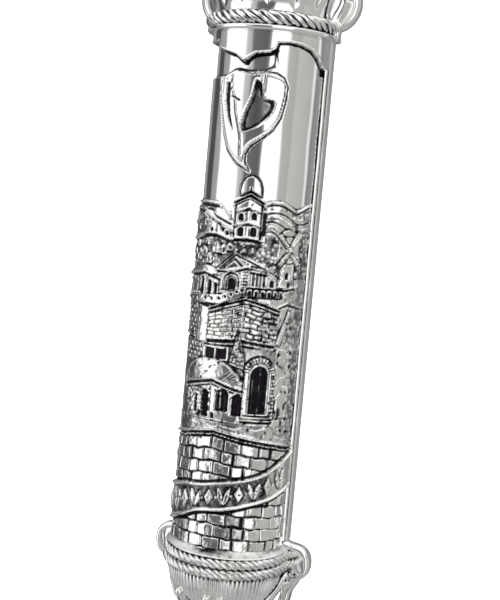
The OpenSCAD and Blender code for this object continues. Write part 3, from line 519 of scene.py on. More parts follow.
def draw_gate(r):
    """Cypress, domed hall with an arcade, and the great gate."""
    r.face([(FAR, -10), (17.4, -10.6), (17.4, -26), (FAR, -26)], 0.24, 0.3, 0.5)
    r.face([(8.7, -10.4), (17.4, -10.2), (17.4, -26.4), (9, -26.4)],
           lambda u, z: 0.36 + 0.08 * np.sin(1.1 * z) * np.sin(0.9 * u + 0.6 * z), 0.3)
    r.bush([(12.6, -10.8), (17.4, -10.4), (17.4, -26), (13.4, -26)], 60, 0.36, 0.7, 0.26, 0.75)
    r.bush([(9, -11), (12.6, -10.8), (13, -18), (9.2, -18)], 22, 0.4, 0.8, 0.14, 0.35)
    r.block([(9.5, -24.6), (9.4, -20.4), (11, -18.8), (12.7, -20.4), (12.7, -24.6)], 0.5)
    r.line([(9, -20.8), (11, -18.7), (13.1, -20.8)], 0.24, 0.2)
    r.hole(arch(10.4, -24.2, 0.7, 1.8), 0.45)
    r.hole(arch(11.8, -23, 0.6, 1.3), 0.45)
    r.line(spline([(9, -17.6), (10.6, -16.2), (12.6, -16.6), (13.6, -17.8)], 4), 0.24, 0.2)
    for c in ((9.4, -11.7), (9.3, -13.2), (12.9, -11.2), (13, -14), (10.4, -24.6), (12.9, -25)):
        r.dot(c, 0.6, -0.5, 1)
    r.block([(-7.2, -13.4), (-7.2, -10.6), (-1.2, -10.4), (-1.2, -13.4)], 0.6)
    for a, b in ((-6.7, -4.4), (-4, -1.7)):
        r.hole([(a, -13), (b, -13), (b, -11), (a, -11)], 0.6)
    r.bricks([(-14.6, -14.6), (-14.6, -10.4), (-7.4, -10.6), (-7.4, -14)], 1.6, 0.95, 0.42, None, 0.15, 0.25)
    r.block([(-1.1, -13.9), (-0.3, -10), (0.4, -6.7), (1.2, -9.4), (2.4, -14.9)], 0.5)
    r.bush([(-0.9, -13.6), (-0.2, -10), (0.4, -7.2), (1.1, -9.6), (2.2, -14.6)], 44, 0.2, 0.36, 0.3, 0.95)
    dome = spline([(-12.8, -19), (-11.6, -16.6), (-9.8, -14.6), (-7.2, -13.4), (-4, -13.2), (-1.2, -14),
                   (0.8, -15.8), (3.2, -18.4)], 5)
    hall = np.concatenate([dome, [(3.6, -19), (2.9, -25.8), (-10.8, -25.8), (-10.8, -23.6)]])
    r.block(hall, 0.7, 0.25, 0.45)
    r.face(np.concatenate([dome, [(0.5, -18.5), (-4.1, -17.1)]]),
           lambda u, z: 0.98 - 0.006 * (u + 5) ** 2 - 0.03 * np.clip(-14 - z, 0, 6), 0.35)
    r.line(dome, 0.36, 0.2)
    # painted shade on the dome's right side
    r.face([(-0.5, -15.2), (2.2, -18.2), (0.6, -18.4), (-3, -17.2)], 0.72, 0.3, 0.75)
    for k in range(6):
        r.line([(-0.4 + 0.42 * k, -15.8 - 0.4 * k), (-1.8 + 0.42 * k, -17.3 - 0.2 * k)], 0.14, 0.14)
    r.eave([(-13, -19.2), (-4.1, -17.1), (0.5, -18.5), (3.7, -19.1)], 0.34, 0.34, 0.5)
    r.eave([(-12.6, -20.1), (-4.1, -18), (0.5, -19.3), (3.7, -19.8)], 0.24, 0.28, 0.4)
    r.line([(-4.3, -17.6), (-4.3, -25.4)], 0.2, 0.16)
    r.bricks([(-10.6, -25.6), (-10.6, -20), (-4.4, -18.8), (-4.4, -25.6)], 1.5, 0.85, 0.66, None, 0.14, 0.25)
    for c, z0, w, h in ((-10.2, -24.4, 1, 3.2), (-8.2, -24.6, 1.2, 3.6), (-5.6, -25.2, 1.7, 5.4),
                        (-1.7, -23.6, 2.3, 4.4), (1.3, -24.2, 1.7, 4.2), (3.15, -25.2, 0.8, 4.6)):
        r.line(arch(c, z0, w + 0.6, h + 0.4), 0.24, 0.24, closed=True)
        r.hole(arch(c, z0, w, h), 0.85)
    for u in (-2.3, -1.2):
        r.line([(u, -23.4), (u, -19.8)], 0.16, 0.4)
    r.hole(arch(-3.6, -26, 0.8, 1.8), 0.5)
    r.hole(arch(-7, -26, 0.8, 1.8), 0.5)
    # gate
    gate = [(2.3, -25.3), (2.3, -15), *half_round(5.3, -15.2, 3.2, 15), (8.7, -15), (8.9, -25.3)]
    r.block([(u, z) for u, z in gate if u > 2.2], 0.62)
    centre = np.array([5.3, -15.2])
    corners = ((2.05, -0.19), (3.2, -0.31), (3.2, 0.31), (2.05, 0.19))
    for k in range(13):
        a = math.pi * (k + 0.5) / 13
        way = np.array([math.cos(a), math.sin(a)])
        side = np.array([-way[1], way[0]])
        stone = [centre + way * q + side * t for q, t in corners]
        r.block(stone, 0.86, 0.2, 0.14)
    r.hole([(3.7, -23.6), (3.7, -15.6), *half_round(5.35, -15.6, 1.65, 11), (7, -23.6)], 0.9, 1)
    for u in (4.15, 4.65, 5.15, 5.65, 6.15, 6.65):
        r.line([(u, -23.4), (u, -14.6)], 0.15, 0.22, 0.75)
    r.line([(7.5, -23.6), (7.5, -15.2)], 0.3, 0.26)
    r.line([(3.3, -23.6), (3.3, -15.2)], 0.22, 0.22)
    r.bricks([(7.95, -25), (7.95, -15), (8.8, -15), (8.9, -25)], 1.4, 0.75, 0.7, None, 0.15, 0.35, 0.05, 1)
    for k, z in enumerate((-23.7, -24.4, -25.1)):
        r.eave([(2.6 - 0.2 * k, z), (8.4 + 0.2 * k, z - 0.1)], 0.2, 0.3, 0.32)
    r.eave([(-16, -26.1), (-3, -25.6), (3, -26), (9, -26.2)], 0.26, 0.26, 0.36, 0.8)


def draw_wall(r):
    """Double ledge, coursed stone wall and the ribbon across it."""
    r.face([(FAR, -26.3), (-3, -25.9), (17.4, -26.4), (17.4, -31.6), (-3, -28), (FAR, -31)], 0.34, 0.25, 0.25)
    r.face([(-8, -26.2), (7, -26.2), (7.4, -28.6), (-3, -27.3), (-8.6, -28)], 0.22, 0.5, 0.55)
    for a, b in ((-9, -5.4), (-4.8, -1.6), (-0.9, 2.6), (3.4, 7.6)):
        r.line(spline([(a, -26.9), ((a + b) / 2, -27.2), (b, -26.7)], 4), 0.26, 0.22)
    r.bush([(9.4, -26.2), (17.4, -26.2), (17.4, -29.4), (9.6, -28.8)], 26, 0.36, 0.64, 0.24, 0.6)
    for c in ((11.9, -27.4), (13.8, -27.7)):
        r.dot(c, 0.6, -0.5, 1)

    def left(u, z):
        return -0.17 * (-3 - u) * np.clip(1 + 0.034 * (z + 29), 0.2, 1)

    def right(u, z):
        return -0.17 * (u + 3) * np.clip(1 + 0.034 * (z + 29), 0.2, 1)

    def ground(u, z):
        return 0.18 + 0.56 * smooth01((u + 13) / 3.5) * smooth01((11.5 - u) / 3.5)

    # the last figure darkens stones round the front middle, a painted reflection
    r.bricks([(-3.05, -53), (-3.05, -28.4), (17.4, -31.5), (17.4, -53)], 3.3, 2.62, 0.42, right, 0.2, 0.4,
             0.09, 0.95, 0.35, 0.3, 0.1, 0.62)
    r.bricks([(FAR, -53), (FAR, -31), (-3.05, -28.4), (-3.05, -53)], 3.1, 2.62, 0.42, left, 0.2, 0.4, 0.09,
             0.95, -3.05, 0.3, 0.1, 0.62)
    r.line([(-3.05, -53), (-3.05, -28.4)], 0.2, 0.08)
    r.eave(LEDGE, 0.34, 0.45, 0.5)
    r.eave([(u, z - 0.85) for u, z in LEDGE], 0.28, 0.3, 0.42)
    r.line(RIBBON_LOW - [0, 0.3], 0.55, -0.3, 0.9)
    r.line(RIBBON_TOP + [0, 0.25], 0.5, -0.25, 0.8)
    r.face(RIBBON, 0.9, 0.35)
    low_in = RIBBON_LOW + [0, 0.75]
    top_in = RIBBON_TOP - [0, 0.7]
    r.face(np.concatenate([low_in, top_in[::-1]]), 0.68, 0.25, ground)
    r.line(RIBBON_LOW + [0, 0.38], 0.36, 0.2)
    r.line(RIBBON_TOP - [0, 0.34], 0.36, 0.2)
    # plain leaf and lozenge ornament along the ribbon
    for k in range(11):
        u = -17.4 + 2.95 * k
        zl = np.interp(u, RIBBON_LOW[:, 0], RIBBON_LOW[:, 1])
        zt = np.interp(u, RIBBON_TOP[:, 0], RIBBON_TOP[:, 1])
        c, tall = (zl + zt) / 2, (zt - zl) * 0.285
        if k % 2:
            r.block([(u - 0.95, c), (u, c - tall), (u + 0.95, c), (u, c + tall)], 1.08, 0.24, 0.2)
            r.dot((u, c), 0.3, -0.2, 0.9)
        else:
            for side in (-1, 1):
                leaf = spline([(u, c - tall), (u + side * 1.05, c - 0.3 * tall), (u + side * 1.2, c + tall),
                               (u + side * 0.25, c + 0.3 * tall)], 4, True)
                r.block(leaf, 1.05, 0.22, 0.16)
        r.dot((u + 1.47, c + 0.1 * tall), 0.32, 0.3)


def draw_grooves(r):
    """Black hollow between the relief and each side rim, with an uneven edge."""
    zs = np.linspace(-56, 47.3, 120)
    for side, start in ((1, ART_RIGHT), (-1, ART_LEFT)):
        wander = 0.66 + 0.14 * np.sin(0.42 * zs) + 0.1 * np.sin(1.37 * zs + 1) + 0.05 * np.sin(3.1 * zs)
        edge = start - side * wander
        outline = list(zip(edge, zs)) + [(start + side * 4, 47.3), (start + side * 4, -56)]
        r.line(list(zip(edge - side * 0.3, zs)), 0.35, 0.12)
        r.face(outline, -0.6, 0.3, 1)


relief = Relief(-SIDE_END, SIDE_END, COVE_Z1 - 0.62, RING_Z0 + 0.02, PITCH)
for draw in (draw_field, draw_hills, draw_mill, draw_tower, draw_houses, draw_keep, draw_gate, draw_wall,
             draw_grooves):
    draw(relief)

# oxide settles in the hollows, and the same darkening paints the shade that gathers there; the left of the
# town swells out; the cast surface is a little rough and worn
cavity = smooth01((blur(relief.h, 3.2) - relief.h - 0.03) / 0.16)
relief.oxide_and_shade = np.clip(np.maximum(relief.oxide_and_shade, 0.95 * cavity), 0, 1)
swell = 0.4 * smooth01((-11 - relief.u) / 4) * smooth01((18.6 - relief.z) / 1.5)
relief.h += swell * np.where(relief.h > 0, 1, 0)
rough = blur(np.where((relief.z < 19.5) & (relief.h > 0.05) | (relief.z < 17), 1.0, 0.0), 3)


def grain(size):
    """Smoothed noise over the whole relief."""
    return blur(relief.rand.standard_normal(relief.h.shape), size)


flecks = smooth01((grain(1.6) * 5.6 - 0.9) / 0.8)
relief.oxide_and_shade = np.maximum(relief.oxide_and_shade, 0.75 * rough * flecks * (relief.z > -31))
relief.h += rough * (0.16 * grain(2.6) + 0.05 * grain(1.1))
relief.h = blur(relief.h, 0.62)
relief.oxide_and_shade = blur(relief.oxide_and_shade, 0.6)
relief.h += (0.010 * np.sin(0.55 * relief.z + 0.4 * relief.u)
             + 0.007 * np.sin(0.31 * relief.z - 0.9 * relief.u + 1)
             + 0.004 * np.sin(1.3 * relief.u + 0.2 * relief.z))


# ---------------------------------------------------------------- mesh tools
def loop_faces(n, rows, start=0, closed=False, inward=False):
    """Quads between successive loops of n points; closed joins the last loop to the first."""
    faces = []
    for k in range(rows if closed else rows - 1):
        a, b = start + k * n, start + (k + 1) % rows * n
        for i in range(n):
            j = (i + 1) % n
            faces.append((a + i, b + i, b + j, a + j) if inward else (a + i, a + j, b + j, b + i))
    return faces


def tube_faces(n, rows, start=0, inward=False):
    """Sides and both end caps of a tube made of loops."""
    low = tuple(range(start, start + n))
    high = tuple(range(start + (rows - 1) * n, start + rows * n))
    caps = [low, high[::-1]] if inward else [low[::-1], high]
    return loop_faces(n, rows, start, inward=inward) + caps


def ball_faces(rows, cols):
    """Faces of a ball whose points run from its lower pole, in loops, to its upper pole."""
    top, base = 1 + (rows - 1) * cols, 1 + (rows - 2) * cols
    fans = [(0, 1 + (j + 1) % cols, 1 + j) for j in range(cols)]
    fans += [(top, base + j, base + (j + 1) % cols) for j in range(cols)]
    return fans + loop_faces(cols, rows - 1, 1)


def make_mesh(name, points, faces, node, material, slot="polished_silver", body="case", oxide_and_shade=None, zone=None,
              sharp=None):
    """Adds a piece that shows one CAD node; points are in mm about the middle of the case."""
    mesh = bpy.data.meshes.new(name)
    mesh.from_pydata(((np.array(points, float).reshape(-1, 3) + [0, 0, CENTRE]) * MM).tolist(), [], faces)
    if zone is not None:
        corner_zone = np.repeat(np.asarray(zone), [len(f) for f in faces])
        edge = np.zeros(len(mesh.loops), int)
        mesh.loops.foreach_get("edge_index", edge)
        low = np.full(len(mesh.edges), 99)
        high = np.full(len(mesh.edges), -1)
        np.minimum.at(low, edge, corner_zone)
        np.maximum.at(high, edge, corner_zone)
        flag = mesh.attributes.new("sharp_edge", "BOOLEAN", "EDGE")
        flag.data.foreach_set("value", low != high)
    if sharp:
        mesh.set_sharp_from_angle(angle=math.radians(sharp))
    # darkness carried to the silver finishes: oxide in the hollows together with painted shade
    oxide_and_painted_shade = mesh.attributes.new("oxide_and_painted_shade", "FLOAT", "POINT")
    if oxide_and_shade is not None:
        oxide_and_painted_shade.data.foreach_set("value", np.asarray(oxide_and_shade, np.float32).ravel())
    mesh.update()
    obj = bpy.data.objects.new(name, mesh)
    bpy.context.scene.collection.objects.link(obj)
    mesh.materials.append(material)
    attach(obj, body)
    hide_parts(node)


def wrap(u, z, r):
    """Point on the D-shaped surface: u along the arc at the field's radius, r from the axis."""
    u, z, r = np.broadcast_arrays(u, z, r)
    angle = np.clip(u, -QUARTER, QUARTER) / FIELD_R
    past = np.maximum(np.abs(u) - QUARTER, 0)
    return np.stack([r * np.sin(angle), AXIS_Y - r * np.cos(angle) + past, z], -1)


def clean(cells):
    """Fills places where two parts of a mask touch only at a corner."""
    for _ in range(4):
        a, b, c, d = cells[:-1, :-1], cells[:-1, 1:], cells[1:, :-1], cells[1:, 1:]
        bad = (a & d & ~b & ~c) | (b & c & ~a & ~d)
        if not bad.any():
            break
        for part in (cells[:-1, :-1], cells[:-1, 1:], cells[1:, :-1], cells[1:, 1:]):
            part |= bad
    return cells


def height_solid(name, us, zs, h, oxide_and_shade, cells, low, place, **more):
    """Closed solid under the marked cells of a height map, down to the level low."""
    rows, cols = h.shape
    used = np.zeros((rows, cols), bool)
    used[:-1, :-1] |= cells
    used[1:, :-1] |= cells
    used[:-1, 1:] |= cells
    used[1:, 1:] |= cells
    number = np.full((rows, cols), -1)
    count = int(used.sum())
    number[used] = np.arange(count)
    u, z = np.meshgrid(us, zs)
    top = place(u[used], z[used], h[used])
    base = place(u[used], z[used], np.full(count, low))
    i, j = np.nonzero(cells)
    a, b, c, d = number[i, j], number[i, j + 1], number[i + 1, j + 1], number[i + 1, j]
    around = np.pad(cells, 1)
    walls = []
    for gone, p, q in ((~around[i, j + 1], a, b), (~around[i + 1, j + 2], b, c),
                       (~around[i + 2, j + 1], c, d), (~around[i + 1, j], d, a)):
        p, q = p[gone], q[gone]
        walls.append(np.stack([q, p, p + count, q + count], -1))
    walls = np.concatenate(walls)
    tops = np.stack([a, b, c, d], -1)
    bases = tops[:, ::-1] + count
    faces = np.concatenate([tops, walls, bases]).tolist()
    zone = np.repeat([0, 1, 2], [len(tops), len(walls), len(bases)])
    both = np.concatenate([oxide_and_shade[used], np.full(count, 0.1)])
    make_mesh(name, np.concatenate([top, base]), faces, oxide_and_shade=both, zone=zone, **more)


def cells_in(points, extra=0.0):
    """Cells of the relief whose middle lies inside an outline."""
    u = (relief.u[:-1, :-1] + relief.u[1:, 1:]) / 2
    z = (relief.z[:-1, :-1] + relief.z[1:, 1:]) / 2
    d, inside = segment_distance(points, u, z, True)
    return np.where(inside, d, -d) > -extra


def d_ring(r, z, back, steps=96):
    """D-shaped loop of points at radius r: right side, front, left side."""
    angle = np.linspace(math.pi / 2, -math.pi / 2, steps + 1)
    arc = np.stack([r * np.sin(angle), AXIS_Y - r * np.cos(angle)], -1)
    side = np.linspace(back, AXIS_Y, 6)[:-1]
    right = np.stack([np.full(5, r), side], -1)
    left = np.stack([np.full(5, -r), side[::-1]], -1)
    flat = np.concatenate([right, arc, left])
    return np.column_stack([flat, np.full(len(flat), z)])


def d_loft(name, profile, back=0.0, steps=96, shape=None, oxide_and_shade=None, sharp=40, **more):
    """Closed solid through D-shaped loops, one for each (radius, height) from bottom to top."""
    rings = []
    for r, z in profile:
        ring = d_ring(r, z, back, steps)
        if shape:
            ring = shape(ring, z)
        rings.append(ring)
    n = len(rings[0])
    if oxide_and_shade:
        oxide_and_shade = np.concatenate([oxide_and_shade(ring, k) for k, ring in enumerate(rings)])
    make_mesh(name, np.concatenate(rings), tube_faces(n, len(rings), inward=True), oxide_and_shade=oxide_and_shade, sharp=sharp, **more)


def lathe_y(name, cx, cz, profile, **more):
    """Turned piece about a line along y; profile is (radius, y), the first and last at radius 0."""
    steps = 96
    angle = np.linspace(0, 2 * math.pi, steps, endpoint=False)
    inner = profile[1:-1]
    points = [np.stack([cx + r * np.cos(angle), np.full(steps, y), cz + r * np.sin(angle)], -1) for r,
              y in inner]
    points = np.concatenate(points + [np.array([[cx, profile[0][1], cz], [cx, profile[-1][1], cz]])])
    first, last = len(points) - 2, len(points) - 1
    base = (len(inner) - 1) * steps
    faces = loop_faces(steps, len(inner), inward=True)
    for i in range(steps):
        j = (i + 1) % steps
        faces += [(first, i, j), (last, base + j, base + i)]
    make_mesh(name, points, faces, sharp=35, **more)


def plate(name, outline, rings, tilt, **more):
    """Closed plate from an outline in x and z; rings are (inset, y) from the back edge inwards."""
    p = np.asarray(outline, float)
    tangent = np.roll(p, -1, 0) - np.roll(p, 1, 0)
    tangent /= np.linalg.norm(tangent, axis=1)[:, None]
    area = 0.5 * np.sum(p[:, 0] * np.roll(p[:, 1], -1) - np.roll(p[:, 0], -1) * p[:, 1])
    if area < 0:
        p, tangent = p[::-1], -tangent[::-1]
    inward = np.stack([-tangent[:, 1], tangent[:, 0]], -1)
    n = len(p)
    points = []
    for k, (inset, y) in enumerate(rings):
        q = p + inward * inset
        lean = tilt * (q[:, 0] - q[:, 0].mean()) if k >= len(rings) - 2 else 0
        points.append(np.stack([q[:, 0], np.full(n, y) + lean, q[:, 1]], -1))
    make_mesh(name, np.concatenate(points), tube_faces(n, len(rings)), sharp=40, **more)


def rope(name, z0, z1, node, turn, strands, dark, reach, material):
    """Twisted cord laid round the case; turn is the length of one full twist."""
    r = (z1 - z0) / 2
    cz, cr = (z0 + z1) / 2, reach - r
    ends = -1.5 - AXIS_Y
    total = math.pi * cr + 2 * ends
    count = int(total / 0.11)
    s = np.linspace(0, total, count + 1)
    theta = np.linspace(0, 2 * math.pi, 60, endpoint=False)
    sg, tg = np.meshgrid(s, theta, indexing="ij")
    lay, own = 0.62 * r, 0.62 * r * math.sin(math.pi / strands) * 1.12
    best = np.zeros(sg.shape)
    for k in range(strands):
        d = tg + 2 * math.pi * (sg + 0.1 * np.sin(1.7 * sg)) / turn - 2 * math.pi * k / strands
        d = (d + math.pi) % (2 * math.pi) - math.pi
        under = own ** 2 - (lay * np.sin(d)) ** 2
        reach_out = np.where(under > 0, lay * np.cos(d) + np.sqrt(np.maximum(under, 0)), 0)
        fine = 0.04 * r * np.cos(3.2 * strands * d) * (1 + 0.5 * np.sin(3 * k + 0.9 * sg))
        best = np.maximum(best, reach_out + fine)
    best = np.maximum(best, 0.5 * r)
    best *= r / best.max()
    best += 0.03 * r * np.sin(2.9 * sg + 2 * tg) * np.sin(1.3 * sg - tg)
    # dark in the hollows between the strands, unevenly along the cord: oxide and painted shade
    patchy = 0.86 + 0.05 * np.sin(0.8 * sg + 1) + 0.05 * np.sin(2.3 * sg - tg)
    gap = dark * np.clip((patchy - best / r) / 0.12, 0, 1)
    out = cr + best * np.cos(tg)
    z = cz + best * np.sin(tg)
    u = (sg - total / 2) / cr
    angle = np.clip(u, -math.pi / 2, math.pi / 2)
    past = np.maximum(np.abs(u) - math.pi / 2, 0) * cr
    points = np.stack([out * np.sin(angle), AXIS_Y - out * np.cos(angle) + past, z], -1).reshape(-1, 3)
    make_mesh(name, points, tube_faces(len(theta), count + 1, inward=True), node, material, "rope_silver",
              oxide_and_shade=gap, sharp=80)


# ---------------------------------------------------------------- materials
def nodes_of(name):
    """New material with its node tree and shader."""
    mat = bpy.data.materials.new(name)
    mat.use_nodes = True
    tree = mat.node_tree
    tree.nodes.clear()
    out = tree.nodes.new("ShaderNodeOutputMaterial")
    shader = tree.nodes.new("ShaderNodeBsdfPrincipled")
    tree.links.new(shader.outputs[0], out.inputs[0])
    return mat, tree, shader


def link(tree, a, b):
    tree.links.new(a, b)


def noise(tree, scale, detail, stretch=(1.0, 1.0, 1.0)):
    """Noise in the piece's own space."""
    coord = tree.nodes.new("ShaderNodeTexCoord")
    node = tree.nodes.new("ShaderNodeTexNoise")
    node.inputs["Scale"].default_value = scale
    node.inputs["Detail"].default_value = detail
    node.inputs["Roughness"].default_value = 0.55
    mapping = tree.nodes.new("ShaderNodeMapping")
    mapping.inputs["Scale"].default_value = stretch
    link(tree, coord.outputs["Object"], mapping.inputs["Vector"])
    link(tree, mapping.outputs[0], node.inputs["Vector"])
    return node.outputs["Fac"]


def span(tree, value, low, high, out_low, out_high):
    """Maps a value from one range to another."""
    node = tree.nodes.new("ShaderNodeMapRange")
    link(tree, value, node.inputs["Value"])
    for key, number in zip(("From Min", "From Max", "To Min", "To Max"), (low, high, out_low, out_high)):
        node.inputs[key].default_value = number
    return node.outputs["Result"]


def math_node(tree, kind, a, b):
    node = tree.nodes.new("ShaderNodeMath")
    node.operation = kind
    for socket, v in zip(node.inputs, (a, b)):
        if isinstance(v, (int, float)):
            socket.default_value = v
        else:
            link(tree, v, socket)
    return node.outputs[0]


def mix_colour(tree, fac, a, b):
    node = tree.nodes.new("ShaderNodeMix")
    node.data_type = "RGBA"
    link(tree, fac, node.inputs["Factor"])
    for socket, v in ((node.inputs["A"], a), (node.inputs["B"], b)):
        if isinstance(v, tuple):
            socket.default_value = (*v, 1)
        else:
            link(tree, v, socket)
    return node.outputs["Result"]


def bump(tree, value, strength, distance, shader):
    node = tree.nodes.new("ShaderNodeBump")
    node.inputs["Strength"].default_value = strength
    node.inputs["Distance"].default_value = distance
    link(tree, value, node.inputs["Height"])
    link(tree, node.outputs[0], shader.inputs["Normal"])


# the near black stands for both the oxide and the painted shade in the hollows
BRIGHT, WORN, OXIDE_AND_SHADE_COLOUR = (0.93, 0.925, 0.93), (0.87, 0.865, 0.865), (0.022, 0.018, 0.024)


def silver(name, bright, rough, tone, fine):
    """Plated silver: clear polish on the high places, black oxide and painted shade in the low ones, faint
    wipe marks.
    """
    mat, tree, shader = nodes_of(name)
    oxide_and_painted_shade = tree.nodes.new("ShaderNodeAttribute")
    oxide_and_painted_shade.attribute_name = "oxide_and_painted_shade"
    patch = noise(tree, 900, 5)
    cloud = noise(tree, 140, 3)
    wipe = noise(tree, 420, 4, (1.0, 1.0, 0.12))
    edge = math_node(tree, "ADD", oxide_and_painted_shade.outputs["Fac"], span(tree, patch, 0.3, 0.7, -0.16, 0.16))
    mask = span(tree, edge, 0.22, 0.82, 0, 1)
    darker_patches = span(tree, cloud, 0.35, 0.75, 0, 1)
    clear = mix_colour(tree, darker_patches, bright, tuple(c * 0.93 for c in bright[:2]) + (bright[2] * 0.9,))
    colour = mix_colour(tree, math_node(tree, "MULTIPLY", mask, tone), clear, OXIDE_AND_SHADE_COLOUR)
    link(tree, colour, shader.inputs["Base Color"])
    base = span(tree, wipe, 0.3, 0.75, rough * 0.75, rough * 1.5)
    link(tree, math_node(tree, "ADD", base, math_node(tree, "MULTIPLY", mask, 0.34)),
         shader.inputs["Roughness"])
    shader.inputs["Metallic"].default_value = 1.0
    bump(tree, math_node(tree, "ADD", patch, math_node(tree, "MULTIPLY", wipe, 0.5)), fine, 0.00004, shader)
    return mat


polished = silver("polished_silver_finish", BRIGHT, 0.05, 1.0, 0.06)
relief_silver = silver("oxidised_silver_finish", WORN, 0.1, 1.0, 0.25)
rope_silver = silver("rope_silver_finish", BRIGHT, 0.1, 0.95, 0.15)
end_silver = silver("end_silver_finish", BRIGHT, 0.07, 1.0, 0.08)
satin_silver = silver("satin_silver_finish", WORN, 0.26, 1.0, 0.08)


def back_finish():
    mat, tree, shader = nodes_of("back_metal_finish")
    grain = noise(tree, 700, 3, (1.0, 1.0, 0.04))
    cloud = noise(tree, 90, 3)
    link(tree, mix_colour(tree, span(tree, cloud, 0.3, 0.7, 0, 1), (0.62, 0.61, 0.6), (0.74, 0.735, 0.73)),
         shader.inputs["Base Color"])
    link(tree, span(tree, grain, 0.25, 0.75, 0.24, 0.46), shader.inputs["Roughness"])
    shader.inputs["Metallic"].default_value = 1.0
    bump(tree, grain, 0.25, 0.00003, shader)
    return mat


def parchment_finish():
    mat, tree, shader = nodes_of("parchment_finish")
    grain = noise(tree, 600, 6)
    cloud = noise(tree, 70, 4)
    cream = mix_colour(tree, span(tree, cloud, 0.3, 0.7, 0, 1), (0.74, 0.64, 0.46), (0.84, 0.76, 0.6))
    link(tree, mix_colour(tree, span(tree, grain, 0.62, 0.8, 0, 1), cream, (0.56, 0.44, 0.28)),
         shader.inputs["Base Color"])
    link(tree, span(tree, grain, 0.3, 0.7, 0.5, 0.7), shader.inputs["Roughness"])
    shader.inputs["Subsurface Weight"].default_value = 0.08
    shader.inputs["Subsurface Scale"].default_value = 0.001
    bump(tree, grain, 0.4, 0.0001, shader)
    return mat


def clear_finish():
    mat, tree, shader = nodes_of("clear_sleeve_finish")
    haze = noise(tree, 300, 4)
    link(tree, mix_colour(tree, span(tree, haze, 0.4, 0.7, 0, 1), (0.9, 0.93, 0.95), (0.96, 0.97, 0.98)),
         shader.inputs["Base Color"])
    link(tree, span(tree, haze, 0.3, 0.7, 0.06, 0.14), shader.inputs["Roughness"])
    shader.inputs["Alpha"].default_value = 0.3
    bump(tree, haze, 0.1, 0.0001, shader)
    return mat


back_metal, parchment, clear_film = back_finish(), parchment_finish(), clear_finish()


def dress(node, material):
    """Gives a CAD node its finish."""
    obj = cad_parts[node]
    obj.data.materials.clear()
    obj.data.materials.append(material)


# ---------------------------------------------------------------- the front
def on_case(u, z, h):
    return wrap(u + TURNED, z, FIELD_R + h)


UNDER, SEAT = -1.1, -0.85
ledge_below = [(u, z - 1.15) for u, z in LEDGE]
tower_outline = [(-2.5, 11), (-2.5, 18), (-3, 19), (-2.3, 20.2), (-2.2, 22.2), (-1.7, 23.6), (-0.8, 24.6),
                 (0.5, 25.1), (1.8, 24.6), (2.7, 23.6), (3.2, 22.2), (3.3, 20.2), (3.6, 19.2), (4.3, 18.6),
                 (4.3, 11)]
in_front = cells_in([(ART_LEFT, -60), (ART_RIGHT, -60), (ART_RIGHT, 60), (ART_LEFT, 60)])
in_collar = cells_in(COLLAR, 0.2) & in_front
in_emblem = cells_in(EMBLEM, 0.18)
in_ribbon = cells_in(RIBBON, 0.3) & in_front
in_wall = cells_in([(-25, -60), *ledge_below, (25, -60)]) & in_front & ~in_ribbon
in_town = (cells_in(GROUND, 0.4) | cells_in(tower_outline)) & in_front & ~in_wall & ~in_ribbon
covered = clean(in_collar | in_emblem | in_wall | in_ribbon | in_town)

pad = np.pad(covered, 1, mode="edge")
buried = pad[:-1, :-1] & pad[1:, :-1] & pad[:-1, 1:] & pad[1:, 1:]
shell_h = np.where(buried, SEAT, relief.h)
fine = np.nonzero(relief.zs > 17)[0]
rows = np.concatenate([np.arange(0, fine[0], 12), fine])
ends = np.array([-SHELL_END]), np.array([SHELL_END])
shell_zs = np.concatenate([ends[0], relief.zs[rows], ends[1]])
flat = np.full((1, len(relief.us)), -0.25)
shell_h = np.concatenate([flat, shell_h[rows], flat])
shell_ox = np.concatenate([flat * 0, relief.oxide_and_shade[rows], flat * 0])
all_cells = np.ones((len(shell_zs) - 1, len(relief.us) - 1), bool)
height_solid("front_shell_polished", relief.us, shell_zs, shell_h, shell_ox, all_cells, INNER_R - FIELD_R,
             on_case, node="front_shell", material=polished)


for name, cells, node, material, slot in (
        ("collar_torn_edge", in_collar, "upper_collar", polished, "polished_silver"),
        ("emblem_flame", in_emblem, "flame_emblem", polished, "polished_silver"),
        ("old_town", in_town, "town_relief", relief_silver, "oxidised_silver"),
        ("cut_stone_wall", in_wall, "stone_wall", relief_silver, "oxidised_silver"),
        ("ribbon_scroll", in_ribbon, "ribbon_banner", relief_silver, "oxidised_silver")):
    height_solid(name, relief.us, relief.zs, relief.h, relief.oxide_and_shade, clean(cells.copy()), UNDER, on_case,
                 node=node, material=material, slot=slot)


